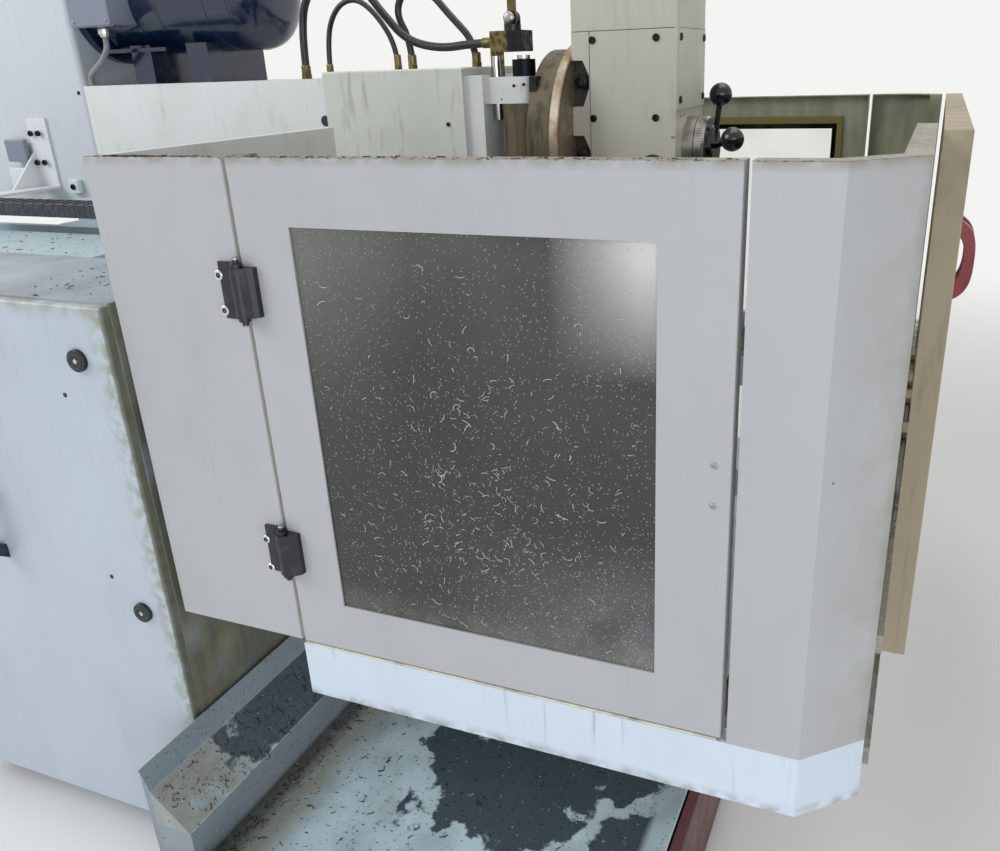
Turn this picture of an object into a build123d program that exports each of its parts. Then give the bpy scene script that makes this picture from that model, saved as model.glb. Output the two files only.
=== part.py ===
from build123d import *
import math
import os

os.makedirs("parts", exist_ok=True)

# Universal milling machine with a sliding ram, a swinging vertical head and a splash cabin.
# Millimetres. X to the operator's right, Y to the back, Z up, floor at Z = 0.

# Fits and clearances
slide_clearance = 0.3
running_fit = 0.05
stand_off = 3.0

# Sheet metal
sheet = 3.0
fold_radius = 2.0

# Splash cabin
cabin_half = 950.0
cabin_top = 1480.0
cabin_back = 9.0
cabin_front = -1210.0
corner_run_x = 76.0
corner_run_y = 85.0
panel_depth = 32.0
side_corner_flat = 105.0
side_gap = 9.0
side_door_width = 745.0
hinge_gap = 7.0
side_door_bottom = 654.0
corner_bottom = 648.0
skirt_bottom = 541.0
door_inset = 0.5
rear_wall_depth = 20.0
rear_wall_inner = 325.0
return_end = -347.0
far_return_width = 60.0
apron_top = 840.0

# Side windows
window_margin_front = 102.0
window_margin_rear = 95.0
window_bottom = 746.0
window_top = 1384.0
pane = 6.0
pane_overlap = 16.0

# Side door hinges
hinge_height = 88.0
hinge_pin_radius = 5.0
hinge_barrel_radius = 11.7
hinge_pin_stand_off = 12.0
hinge_lug_height = 6.0
hinge_leaf = 5.0
hinge_leaf_width = 29.0
hinge_levels = (1286.0, 838.0)
knuckle_reach = 27.5
knuckle_rise = 8.0
knuckle_crest = 4.0
knuckle_slope = 6.0
knuckle_nose = 2.0
lug_wall = 4.0
lug_rise = 6.0
lug_heel = 9.0
pin_end = 6.0
leaf_seat = 0.2

# Front sliding doors
front_door_gap = 9.0
front_door_depth = 42.0
front_door_bottom = 550.0
front_door_near_end = -500.0
front_door_far_end = 874.0
meeting_gap = 4.0
front_window_margin = 90.0
front_window_bottom = 880.0
rail_height = 30.0
rail_levels = (600.0, 800.0)
rail_half = 870.0
shoe_length = 60.0
shoe_height = 14.0
shoe_steps = (30.0, 250.0)
front_handle_reach = 55.0
front_handle_bar = 24.0
front_handle_height = 188.0
front_handle_bottom = 1065.0
front_handle_edge = 35.0
front_handle_foot = 26.0
front_handle_crown = 8.0
front_handle_grip = 22.0
front_handle_haunch = 30.0
outer_bow_share = 0.62
inner_bow_share = 0.46

# Base and levelling feet
base_half = 1140.0
base_front = -919.0
base_step_y = 16.0
base_back = 960.0
base_rear_half = 400.0
foot_height = 25.0
foot_radius = 45.0
foot_neck = 22.0
base_top = 208.0
base_rim_width = 20.0
base_rim_top = 245.0
pedestal_top = 240.0
base_corner = 30.0
anchor_inset = 50.0
anchor_front_inset = 59.0
anchor_rear_inset = 56.0
foot_end_inset = 180.0
foot_middle_x = 300.0
foot_front_inset = 99.0
foot_rear_inset = 76.0
foot_pedestal_inset = 100.0
anchor_hole = 11.0
anchor_pocket = 100.0
anchor_floor = 55.0
anchor_roof = 180.0
base_wall = 16.0
base_end_wall = 130.0

# Chip tray
tray_end_gap = 3.0
tray_rim_gap = 23.0
tray_rim_slope = 67.0
tray_lip_inset = 16.0
tray_rim_top = 252.0
tray_step_y = -77.0
tray_step_top = 298.0
tray_crease_z = 373.0
tray_lip_y = 15.0
tray_lip_top = 419.0

# Column
column_half = 320.0
column_front = 21.0
column_back = 886.0
column_top = 1247.0
way_inner = 185.0
way_outer = 255.0
way_depth = 25.0
way_flare = 8.0
way_bottom = 430.0
way_top = 1230.0
column_wall = 22.0
column_corner = 18.0

# Ram guide on top of the column
guide_foot_half = 185.0
guide_foot_height = 28.0
guide_bar_width = 65.0
guide_lip = 20.0
guide_lip_height = 24.0
guide_chamfer = 8.0
guide_neck_gap = 8.0

# Knee, cross beam and table
saddle_half = 300.0
saddle_front = -60.0
saddle_bottom = 655.0
saddle_top = 1015.0
beam_half = 170.0
beam_front = -770.0
beam_nose_bottom = 770.0
beam_nose_chamfer = 30.0
beam_nose_run = 60.0
beam_wall = 30.0
beam_cavity_rear_inset = 40.0
beam_cavity_nose_inset = 60.0
beam_floor_rear = 34.0
beam_floor_nose = 8.0
saddle_corner = 12.0
cross_beam_inset = 20.0
cross_beam_half = 450.0
cross_beam_bottom = 790.0
cross_beam_top = 845.0
table_rail_width = 60.0
table_half = 500.0
table_front = -754.0
table_width = 450.0
table_bottom = 860.0
table_thickness = 60.0
table_rail_inset = 34.0
table_corner = 8.0
table_tongue_inset = 20.0
slot_count = 5
slot_pitch = 80.0
slot_throat = 14.0
slot_head = 24.0
slot_head_height = 10.0
slot_throat_depth = 15.0

# Cabin frame, carried by the knee
arm_height = 60.0
arm_depth = 30.0
arm_levels = (700.0, 950.0)
post_width = 32.0
post_front = -272.0

# Ram
ram_half = 160.0
cover_sheet = 3.0
ram_top = 1576.0
ram_front = -287.0
ram_back = 867.0
ram_foot_front = -200.0
cover_front = 118.0
front_cover_back = 115.0
front_cover_front = -244.0
front_cover_lip = -254.0
front_cover_half = 168.0
front_cover_top = 1590.0
front_cover_edge = 4.0
ram_wall = 20.0
ram_cavity_front = -110.0
spindle_level = 1430.0
nose_radius = 120.0
nose_side = -62.0
carrier_back = -400.0
spindle_radius = 44.0
spindle_nose_radius = 54.0
spindle_nose_length = 20.0
spindle_nose_inset = 5.0
spindle_nose_gap = 0.5
drawbar_radius = 9.0
spindle_length = 250.0
taper_mouth = 34.9
taper_depth = 100.0
taper_ratio = 7.0 / 48.0

# Swing hinge of the head carrier
swing_x = -116.0
swing_y = -369.0
swing_pin_radius = 14.0
swing_lug_radius = 28.0
swing_barrel_radius = 48.0
upper_lug_bottom = 1514.0
upper_lug_top = 1568.0
lower_lug_bottom = 1290.0
lower_lug_top = 1340.0
swing_nut_radius = 25.0
swing_nut_top = 1610.0
swing_nut_step = 8.0
swing_pin_reach = 10.0
locating_pin_y = -303.0
locating_pin_radius = 9.0
locating_pin_bottom = 1480.0

# Head carrier and swivel
carrier_radius = 190.0
carrier_front = -459.0
swivel_radius = 208.0
swivel_front = -478.0
spigot_radius = 80.0
spigot_length = 10.0
swivel_edge = 2.0

# Milling head
head_half = 114.0
head_low_front = -705.0
head_high_front = -709.0
head_bottom = 1240.0
head_step = 1495.0
head_top = 1650.0
head_crown = 1815.0
head_chamfer = 3.0
head_crown_inset = 1.0
head_crown_edge = 2.0
side_cover_rear = -518.0
side_cover_front = -701.0
side_cover_bottom = 1262.0
side_cover_depth = 8.0
clamp_pocket_depth = 22.0
clamp_pocket_width = 38.0
clamp_pocket_waist = 24.0
clamp_levels = (1552.0, 1402.0)
clamp_pocket_top = 43.0
clamp_pocket_shoulder = 13.0
clamp_pocket_hip = 12.0
clamp_pocket_bottom = 48.0
clamp_bolt_y = -497.0
clamp_bolt_radius = 14.0
clamp_collar_radius = 17.0
clamp_collar_length = 5.0
clamp_bolt_inset = 4.0
clamp_bolt_edge = 2.0
quill_y = -620.0
quill_radius = 55.0
quill_bottom = 1200.0
quill_top = 1600.0
quill_edge = 2.0
milling_spindle_radius = 38.0
milling_nose_radius = 48.0
milling_nose_bottom = 1180.0
milling_taper_mouth = 22.2
milling_taper_depth = 68.0
drawbar_access_radius = 12.0

# Feed dial with its two levers
dial_x = 0.0
dial_z = 1412.0
dial_radius = 65.0
dial_front = -751.0
dial_hub_radius = 45.0
dial_hub_front = -766.0
dial_shaft_radius = 18.0
dial_shaft_length = 24.0
dial_edge = 5.0
dial_hub_edge = 3.0
lever_seat = 6.0
lever_radius = 6.0
ball_radius = 24.0
upper_ball = (0.0, -772.0, 1519.0)
side_ball = (-95.0, -820.0, 1435.0)

# Rear housing, motor and its fittings
housing_back = 1316.0
housing_bottom = 1250.0
housing_top = 2010.0
housing_corner = 14.0
housing_top_edge = 6.0
housing_wall = 6.0
motor_level = 1778.0
motor_radius = 130.0
motor_front = 327.0
motor_flange_radius = 150.0
motor_flange_length = 24.0
motor_band_length = 22.0
motor_band_rise = 6.0
motor_dome_length = 60.0
motor_dome_run = 14.0
motor_dome_share = 0.72
motor_dome_slope = 0.12
motor_cradle_drop = 110.0
motor_plate_inset = 40.0
motor_foot_length = 65.0
motor_foot_half = 105.0
motor_foot_rear_y = 705.0
motor_foot_front_y = 523.0
motor_plate_half = 118.0
motor_plate_bottom = 1652.0
motor_plate_thickness = 9.0
motor_plate_front = 609.0
motor_plate_back = 820.0
terminal_outer = -200.0
terminal_front = 690.0
terminal_back = 820.0
terminal_bottom = 1712.0
terminal_top = 1800.0
terminal_corner = 6.0
terminal_edge = 3.0
gland_x = -165.0
gland_y = 751.0
gland_radius = 12.0
gland_length = 14.0
cable_radius = 7.0

# Chain console, energy chain and bracket
console_outer = -645.0
console_front = 400.0
console_bottom = 1100.0
channel_outer = -420.0
channel_inner = -340.0
channel_floor = 1180.0
channel_front = 420.0
console_wall = 16.0
console_corner = 6.0
chain_width = 70.0
chain_height = 34.0
chain_front = 560.0
chain_rear_low = 1250.0
chain_rear_high = 1090.0
chain_upper_bottom = 1282.0
bracket_centre_y = 1064.0
bracket_width = 70.0
bracket_plate = 6.0
bracket_top = 1500.0
bracket_gusset = 90.0

# Electrical cabinet
cabinet_setback = 175.0
cabinet_front = 26.0
cabinet_back = 866.0
cabinet_bottom = 92.0
cabinet_top = 1247.0
cabinet_door_depth = 18.0
cabinet_door_margin = 4.0
cabinet_door_edge = 5.0
cabinet_frame_lip = 55.0
cabinet_arm_bottom = 32.0
cabinet_arm_ys = (150.0, 740.0)
cabinet_arm_width = 90.0
cabinet_arm_inset = 40.0
cabinet_arm_rise = 30.0
cabinet_hinge_levels = (300.0, 1040.0)
cabinet_hinge_barrel = 5.0
cabinet_hinge_pin = 2.5
cabinet_hinge_lug = 3.6
cabinet_hinge_height = 40.0
cabinet_hinge_lug_height = 4.0
plate_margin = 65.0
module_rail_depth = 8.0
module_rail_height = 36.0
module_rail_margin = 90.0
module_rows = 3
module_row_start = 228.0
module_row_pitch = 300.0
module_columns = 5
module_start = 120.0
module_pitch = 122.0
module_width = 92.0
module_height = 110.0
module_depth = 80.0
lock_radius = 20.0
lock_reach = 8.0
lock_shaft_radius = 9.0
lock_cam_length = 38.0
lock_cam_gap = 4.0
lock_cam_width = 16.0
lock_cam = 3.0
lock_edge = 2.0
lock_slot_depth = 4.0
lock_slot_width = 4.0
lock_slot_length = 18.0
upper_lock_y = 105.0
upper_lock_z = 1148.0
lower_lock_y = 97.0
lower_lock_z = 645.0
cabinet_handle_y = 446.0
cabinet_handle_bottom = 701.0
cabinet_handle_top = 903.0
cabinet_handle_reach = 38.0
cabinet_handle_bar = 20.0
cabinet_handle_slope = 26.0
cabinet_handle_foot = 30.0
cabinet_handle_grip = 14.0
cabinet_handle_edge = 5.0

# Coolant fittings
block_x = -80.0
block_half = 28.0
block_front = -364.0
block_plate_back = -287.0
block_plate = 6.0
block_bottom = 1618.0
block_top = 1660.0
arm_joint_y = -330.0
arm_joint_z = 1685.0
arm_link = 12.0
arm_eye_radius = 14.0
lower_arm_length = 110.0
upper_arm_reach = 70.0
upper_arm_rise = 34.0
arm_pin_radius = 4.0
arm_cheek = 6.0
arm_bar = 16.0
upper_arm_bar = 14.0
arm_pin_reach = 2.0
nozzle_radius = 6.0
nozzle_start = 6.0
nozzle_run = 12.0
nozzle_drop = 34.0
hose_radius = 9.0
loop_hose_radius = 8.0
thin_hose_radius = 6.0
arc_share = 0.45


# Planes and shared shapes

def level(z):
    """Horizontal plane at a height, its local axes along X and Y."""
    return Plane.XY.offset(z)


def facing_front(y):
    """Upright plane across the machine, its normal toward the operator."""
    return Plane.XZ.offset(-y)


def facing_right(x):
    """Upright plane along the machine, its local axes along Y and Z."""
    return Plane.YZ.offset(x)


def block(x_pair, y_pair, z_pair, mode=Mode.ADD):
    """Rectangular body between three pairs of limits."""
    x_low, x_high = sorted(x_pair)
    y_low, y_high = sorted(y_pair)
    z_low, z_high = sorted(z_pair)
    with BuildSketch(level(z_low)) as outline:
        with Locations(((x_low + x_high) / 2, (y_low + y_high) / 2)):
            Rectangle(x_high - x_low, y_high - y_low)
    extrude(outline.sketch, amount=z_high - z_low, mode=mode)


def round_bar(plane, radius, length, centre=(0, 0), mode=Mode.ADD):
    """Round bar that starts on a plane and runs along its normal."""
    with BuildSketch(plane) as outline:
        with Locations(centre):
            Circle(radius)
    extrude(outline.sketch, amount=length, mode=mode)


def rod_between(start, end, radius):
    """Round rod from one point to another."""
    axis = Vector(*end) - Vector(*start)
    with BuildSketch(Plane(origin=start, z_dir=axis.normalized())) as outline:
        Circle(radius)
    extrude(outline.sketch, amount=axis.length)


def save(part, name):
    """Label a finished piece and write its file."""
    part.label = name
    export_step(part, f"parts/{name}.step")


# Places worked out from the driving dimensions
anchor_x = base_half - anchor_inset
anchor_ys = (base_front + anchor_front_inset, base_step_y - anchor_rear_inset)
foot_end_x = base_half - foot_end_inset
tray_half = base_half - tray_end_gap
tray_foot_half = tray_half - tray_rim_slope
tray_lip_half = tray_half - tray_lip_inset
tray_rim_y = base_front + tray_rim_gap
tray_foot_y = tray_rim_y + tray_rim_slope
cabinet_face = cabinet_setback - base_half
crease_y = cabin_front + corner_run_y
side_corner_rear = crease_y + side_corner_flat
door_free_edge = side_corner_rear + side_gap
door_hinge_edge = door_free_edge + side_door_width
rear_panel_front = door_hinge_edge + hinge_gap
hinge_y = door_hinge_edge + 0.5
hinge_x = cabin_half + hinge_pin_stand_off
skirt_rear = door_hinge_edge + hinge_gap / 2
flange_face = cabin_half - panel_depth
front_return_x = cabin_half - corner_run_x
far_return_end = front_return_x - far_return_width
front_door_back = cabin_front - front_door_gap
front_door_face = front_door_back - front_door_depth
door_middle = (front_door_near_end + front_door_far_end) / 2
table_top = table_bottom + table_thickness
table_back = table_front + table_width
table_middle_y = (table_front + table_back) / 2
knee_back = column_front - slide_clearance
ram_foot_bottom = column_top + slide_clearance
ram_foot_top = ram_foot_bottom + guide_foot_height
cover_bottom = ram_foot_top + guide_lip_height + stand_off
casting_half = ram_half - cover_sheet
casting_top = ram_top - cover_sheet
head_back = swivel_front - slide_clearance
spindle_front = carrier_back + spindle_nose_inset
cabinet_body_face = cabinet_face + cabinet_door_depth - slide_clearance
chain_x = (channel_outer + channel_inner) / 2


# Base casting: a box-section slab under the tray and a pedestal for the column
with BuildPart() as base_casting:
    block((-base_half, base_half), (base_front, base_step_y), (foot_height, base_top))
    block((-base_rear_half, base_rear_half), (base_step_y, base_back), (foot_height, pedestal_top))
    fillet(edges().filter_by(Axis.Z).group_by(Axis.Y)[0], radius=base_corner)
    block(
        (-base_half + anchor_pocket, base_half - anchor_pocket),
        (base_front, base_front + base_rim_width),
        (base_top, base_rim_top),
    )
    for side in (-1, 1):
        for anchor_y in anchor_ys:
            block(
                (side * (base_half + 1), side * (anchor_x - anchor_pocket / 2)),
                (anchor_y - anchor_pocket / 2, anchor_y + anchor_pocket / 2),
                (anchor_floor, anchor_roof),
                Mode.SUBTRACT,
            )
    with Locations(level(anchor_floor)):
        with Locations(*[(side * anchor_x, y) for side in (-1, 1) for y in anchor_ys]):
            Hole(radius=anchor_hole)
    for arm_y in cabinet_arm_ys:
        with BuildSketch(facing_front(arm_y + cabinet_arm_width / 2)) as cabinet_arm:
            with BuildLine():
                Polyline(
                    (-base_rear_half, cabinet_arm_bottom),
                    (cabinet_face + cabinet_arm_inset, cabinet_arm_bottom + cabinet_arm_rise),
                    (cabinet_face + cabinet_arm_inset, cabinet_bottom),
                    (-base_rear_half, cabinet_bottom),
                    close=True,
                )
            make_face()
        extrude(amount=cabinet_arm_width)
    block(
        (-base_half + base_end_wall, base_half - base_end_wall),
        (base_front + base_wall, base_step_y - base_wall),
        (foot_height + base_wall, base_top - base_wall),
        Mode.SUBTRACT,
    )
    block(
        (-base_rear_half + base_wall, base_rear_half - base_wall),
        (base_step_y + base_wall, base_back - base_wall),
        (foot_height + base_wall, pedestal_top - base_wall),
        Mode.SUBTRACT,
    )
save(base_casting.part, "base_casting")

# Levelling feet: round pads with a short neck under the base
with BuildPart() as levelling_feet:
    foot_front_y = base_front + foot_front_inset
    foot_rear_y = base_step_y - foot_rear_inset
    foot_places = [(side * foot_end_x, y) for side in (-1, 1) for y in (foot_front_y, foot_rear_y)]
    for foot_y in (foot_front_y, base_back - foot_pedestal_inset):
        foot_places += [(side * foot_middle_x, foot_y) for side in (-1, 1)]
    for foot_x, foot_y in foot_places:
        round_bar(level(0), foot_radius, foot_height * 0.5, (foot_x, foot_y))
        round_bar(level(foot_height * 0.5), foot_neck, foot_height * 0.5, (foot_x, foot_y))
save(levelling_feet.part, "levelling_feet")

# Chip tray: a sheet pan with sloping rims and a raised, sloped shelf in front of the column
with BuildPart() as chip_tray:
    for inset, floor, mode in ((0, base_top, Mode.ADD), (sheet, base_top + sheet, Mode.SUBTRACT)):
        with BuildSketch(level(floor)):
            with Locations((0, (tray_foot_y + tray_step_y) / 2)):
                Rectangle(2 * tray_foot_half, tray_step_y - tray_foot_y)
        with BuildSketch(level(tray_rim_top)):
            with Locations((0, (tray_rim_y + inset + tray_step_y) / 2)):
                Rectangle(2 * (tray_half - inset), tray_step_y - tray_rim_y - inset)
        loft(mode=mode)
    with BuildSketch(facing_right(-tray_lip_half)):
        with BuildLine():
            Polyline(
                (tray_step_y, base_top),
                (tray_step_y, tray_step_top),
                (0, tray_crease_z),
                (tray_lip_y, tray_lip_top),
            )
            offset(amount=sheet, side=Side.RIGHT)
        make_face()
    extrude(amount=2 * tray_lip_half)
    for side in (-1, 1):
        with BuildSketch(facing_right(side * tray_lip_half - (sheet if side > 0 else 0))):
            with BuildLine():
                Polyline(
                    (tray_step_y, base_top),
                    (tray_step_y, tray_step_top),
                    (0, tray_crease_z),
                    (tray_lip_y, tray_lip_top),
                    (tray_lip_y, base_top),
                    close=True,
                )
            make_face()
        extrude(amount=sheet)
save(chip_tray.part, "chip_tray")

# Column: box casting with two dovetail ways in front and the ram guide on top
with BuildPart() as column_casting:
    block((-column_half, column_half), (column_front, column_back), (pedestal_top, column_top))
    fillet(edges().filter_by(Axis.Z), radius=column_corner)
    block(
        (-column_half + column_wall, column_half - column_wall),
        (column_front + column_wall, column_back - column_wall),
        (pedestal_top + column_wall, column_top - column_wall),
        Mode.SUBTRACT,
    )
    for side in (-1, 1):
        with BuildSketch(level(way_bottom)):
            with BuildLine():
                Polyline(
                    (side * way_inner, column_front),
                    (side * (way_inner - way_flare), column_front - way_depth),
                    (side * (way_outer + way_flare), column_front - way_depth),
                    (side * way_outer, column_front),
                    close=True,
                )
            make_face()
        extrude(amount=way_top - way_bottom)
        bar_inner = guide_foot_half + slide_clearance
        bar_outer = bar_inner + guide_bar_width
        lip_level = ram_foot_top + slide_clearance
        with BuildSketch(facing_front(column_back)):
            with BuildLine():
                Polyline(
                    (side * bar_inner, column_top),
                    (side * bar_inner, lip_level),
                    (side * (bar_inner - guide_lip), lip_level),
                    (side * (bar_inner - guide_lip), lip_level + guide_lip_height),
                    (side * (bar_outer - guide_chamfer), lip_level + guide_lip_height),
                    (side * bar_outer, lip_level + guide_lip_height - guide_chamfer),
                    (side * bar_outer, column_top),
                    close=True,
                )
            make_face()
        extrude(amount=column_back - column_front)
save(column_casting.part, "column_casting")

# Chain console: casting on the left of the column with a channel for the energy chain
with BuildPart() as chain_console:
    block((console_outer, -column_half), (console_front, housing_back), (console_bottom, column_top))
    fillet(edges().filter_by(Axis.Z), radius=console_corner)
    block(
        (channel_outer, channel_inner),
        (channel_front, housing_back + 1),
        (channel_floor, column_top),
        Mode.SUBTRACT,
    )
    block(
        (console_outer + console_wall, channel_outer - console_wall),
        (console_front + console_wall, housing_back - console_wall),
        (console_bottom + console_wall, column_top - console_wall),
        Mode.SUBTRACT,
    )
save(chain_console.part, "chain_console")

# Energy chain: lower run in the channel, a bend in front and an upper run to the bracket
with BuildPart() as energy_chain:
    lower_middle = channel_floor + chain_height / 2
    upper_middle = chain_upper_bottom + chain_height / 2
    bend_radius = (upper_middle - lower_middle) / 2
    with BuildSketch(facing_right(chain_x - chain_width / 2)):
        with BuildLine():
            lower_run = Line((chain_rear_low, lower_middle), (chain_front, lower_middle))
            bend = RadiusArc(lower_run @ 1, (chain_front, upper_middle), bend_radius)
            Line(bend @ 1, (chain_rear_high, upper_middle))
        trace(line_width=chain_height)
    extrude(amount=chain_width)
save(energy_chain.part, "energy_chain")

# Cabinet body: a sheet box on two arms of the base, open to the left behind its door
with BuildPart() as cabinet_body:
    inner_x = console_outer - sheet
    block((cabinet_body_face, console_outer), (cabinet_front, cabinet_back), (cabinet_bottom, cabinet_top))
    fillet(edges().filter_by(Axis.X), radius=fold_radius)
    block(
        (cabinet_body_face + sheet, inner_x),
        (cabinet_front + sheet, cabinet_back - sheet),
        (cabinet_bottom + sheet, cabinet_top - sheet),
        Mode.SUBTRACT,
    )
    block(
        (cabinet_body_face - 1, cabinet_body_face + sheet),
        (cabinet_front + cabinet_frame_lip, cabinet_back - cabinet_frame_lip),
        (cabinet_bottom + cabinet_frame_lip, cabinet_top - cabinet_frame_lip),
        Mode.SUBTRACT,
    )
    lug_step = cabinet_hinge_height + cabinet_hinge_lug_height + 2 * slide_clearance
    for hinge_z in cabinet_hinge_levels:
        for lug_z in (hinge_z - lug_step / 2, hinge_z + lug_step / 2):
            lug_bottom = lug_z - cabinet_hinge_lug_height / 2
            round_bar(
                level(lug_bottom),
                cabinet_hinge_lug,
                cabinet_hinge_lug_height,
                (cabinet_face, cabinet_back),
            )
            block(
                (cabinet_face, cabinet_body_face + sheet),
                (cabinet_back - sheet, cabinet_back + cabinet_hinge_lug),
                (lug_bottom, lug_bottom + cabinet_hinge_lug_height),
            )
        round_bar(
            level(hinge_z - lug_step / 2),
            cabinet_hinge_pin,
            lug_step,
            (cabinet_face, cabinet_back),
        )
save(cabinet_body.part, "cabinet_body")

# Switchgear: a mounting plate on the cabinet's back with three rails of modules
with BuildPart() as switchgear:
    plate_face = inner_x - sheet
    rail_face = plate_face - module_rail_depth
    block(
        (plate_face, inner_x),
        (cabinet_front + plate_margin, cabinet_back - plate_margin),
        (cabinet_bottom + plate_margin, cabinet_top - plate_margin),
    )
    for row in range(module_rows):
        row_z = cabinet_bottom + module_row_start + row * module_row_pitch
        block(
            (rail_face, plate_face),
            (cabinet_front + module_rail_margin, cabinet_back - module_rail_margin),
            (row_z - module_rail_height / 2, row_z + module_rail_height / 2),
        )
        for column in range(module_columns):
            module_y = cabinet_front + module_start + column * module_pitch
            block(
                (rail_face - module_depth, rail_face),
                (module_y, module_y + module_width),
                (row_z - module_height / 2, row_z + module_height / 2),
            )
save(switchgear.part, "switchgear")

# Cabinet door: a folded pan hinged at its rear edge
with BuildPart() as cabinet_door:
    door_y = (cabinet_front + cabinet_door_margin, cabinet_back - cabinet_door_margin)
    door_z = (cabinet_bottom + cabinet_door_margin, cabinet_top - cabinet_door_margin)
    door_back_x = cabinet_body_face - slide_clearance
    block((cabinet_face, door_back_x), door_y, door_z)
    fillet(edges().group_by(Axis.X)[0], radius=cabinet_door_edge)
    block(
        (cabinet_face + sheet, door_back_x + 1),
        (door_y[0] + sheet, door_y[1] - sheet),
        (door_z[0] + sheet, door_z[1] - sheet),
        Mode.SUBTRACT,
    )
    for lock_y, lock_z in ((upper_lock_y, upper_lock_z), (lower_lock_y, lower_lock_z)):
        round_bar(
            facing_right(cabinet_face - 1),
            lock_shaft_radius + running_fit,
            sheet + 2,
            (lock_y, lock_z),
            Mode.SUBTRACT,
        )
    for hinge_z in cabinet_hinge_levels:
        barrel_bottom = hinge_z - cabinet_hinge_height / 2
        round_bar(
            level(barrel_bottom),
            cabinet_hinge_barrel,
            cabinet_hinge_height,
            (cabinet_face, cabinet_back),
        )
        block(
            (cabinet_face, cabinet_face + cabinet_hinge_barrel),
            (cabinet_back - cabinet_door_margin - sheet, cabinet_back),
            (barrel_bottom, barrel_bottom + cabinet_hinge_height),
        )
        round_bar(
            level(barrel_bottom - 1),
            cabinet_hinge_pin + running_fit,
            cabinet_hinge_height + 2,
            (cabinet_face, cabinet_back),
            Mode.SUBTRACT,
        )
save(cabinet_door.part, "cabinet_door")

# Bow handle of the cabinet door
with BuildPart() as cabinet_handle:
    handle_middle = (cabinet_handle_bottom + cabinet_handle_top) / 2
    handle_half = (cabinet_handle_top - cabinet_handle_bottom) / 2
    grip_half = handle_half - cabinet_handle_foot - cabinet_handle_grip
    grip_x = cabinet_face - cabinet_handle_reach
    with BuildSketch(facing_front(cabinet_handle_y + cabinet_handle_bar / 2)):
        with BuildLine():
            Polyline(
                (cabinet_face, handle_middle - handle_half),
                (grip_x, handle_middle - handle_half + cabinet_handle_slope),
                (grip_x, handle_middle + handle_half - cabinet_handle_slope),
                (cabinet_face, handle_middle + handle_half),
                (cabinet_face, handle_middle + handle_half - cabinet_handle_foot),
                (grip_x + cabinet_handle_grip, handle_middle + grip_half),
                (grip_x + cabinet_handle_grip, handle_middle - grip_half),
                (cabinet_face, handle_middle - handle_half + cabinet_handle_foot),
                close=True,
            )
        make_face()
    extrude(amount=cabinet_handle_bar)
    fillet(edges().filter_by(Axis.Z).group_by(Axis.X)[0], radius=cabinet_handle_edge)
save(cabinet_handle.part, "cabinet_handle")

# Quarter-turn locks: a round head, a shaft through the door and a cam behind the frame lip
for lock_name, lock_y, lock_z in (
    ("upper_lock", upper_lock_y, upper_lock_z),
    ("lower_lock", lower_lock_y, lower_lock_z),
):
    with BuildPart() as lock:
        cam_back = cabinet_body_face + sheet + lock_cam_gap + lock_cam
        round_bar(facing_right(cabinet_face - lock_reach), lock_radius, lock_reach, (lock_y, lock_z))
        fillet(edges().group_by(Axis.X)[0], radius=lock_edge)
        round_bar(facing_right(cabinet_face), lock_shaft_radius, cam_back - cabinet_face, (lock_y, lock_z))
        block(
            (cam_back - lock_cam, cam_back),
            (lock_y - lock_cam_width / 2, lock_y + lock_cam_width / 2),
            (lock_z, lock_z + lock_cam_length),
        )
        block(
            (cabinet_face - lock_reach, cabinet_face - lock_reach + lock_slot_depth),
            (lock_y - lock_slot_width / 2, lock_y + lock_slot_width / 2),
            (lock_z - lock_slot_length / 2, lock_z + lock_slot_length / 2),
            Mode.SUBTRACT,
        )
    save(lock.part, lock_name)

# Knee: a saddle on the column ways, a tapered beam and a cross beam with the table rails
with BuildPart() as knee_casting:
    block((-saddle_half, saddle_half), (saddle_front, knee_back), (saddle_bottom, saddle_top))
    fillet(edges().filter_by(Axis.Z).group_by(Axis.Y)[0], radius=saddle_corner)
    for side in (-1, 1):
        groove_inner = way_inner - slide_clearance
        groove_outer = way_outer + slide_clearance
        groove_floor = column_front - way_depth - slide_clearance
        with BuildSketch(level(saddle_bottom)):
            with BuildLine():
                Polyline(
                    (side * groove_inner, column_front + 1),
                    (side * (groove_inner - way_flare), groove_floor),
                    (side * (groove_outer + way_flare), groove_floor),
                    (side * groove_outer, column_front + 1),
                    close=True,
                )
            make_face()
        extrude(amount=saddle_top - saddle_bottom, mode=Mode.SUBTRACT)
    with BuildSketch(facing_right(-beam_half)):
        with BuildLine():
            Polyline(
                (saddle_front, saddle_bottom),
                (beam_front + beam_nose_run, beam_nose_bottom),
                (beam_front, beam_nose_bottom + beam_nose_chamfer),
                (beam_front, cross_beam_bottom + beam_nose_chamfer),
                (saddle_front, cross_beam_bottom + beam_nose_chamfer),
                close=True,
            )
        make_face()
    extrude(amount=2 * beam_half)
    block(
        (-cross_beam_half, cross_beam_half),
        (table_front + cross_beam_inset, table_back - cross_beam_inset),
        (cross_beam_bottom, cross_beam_top),
    )
    for rail_y in (table_front + table_rail_inset, table_back - table_rail_inset - table_rail_width):
        block(
            (-cross_beam_half, cross_beam_half),
            (rail_y, rail_y + table_rail_width),
            (cross_beam_top, table_bottom - slide_clearance),
        )
    with BuildSketch(facing_right(-beam_half + beam_wall)):
        with BuildLine():
            Polyline(
                (saddle_front - beam_cavity_rear_inset, saddle_bottom + beam_floor_rear),
                (table_front + beam_cavity_nose_inset, beam_nose_bottom + beam_floor_nose),
                (table_front + beam_cavity_nose_inset, cross_beam_bottom),
                (saddle_front - beam_cavity_rear_inset, cross_beam_bottom),
                close=True,
            )
        make_face()
    extrude(amount=2 * (beam_half - beam_wall), mode=Mode.SUBTRACT)
save(knee_casting.part, "knee_casting")

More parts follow.
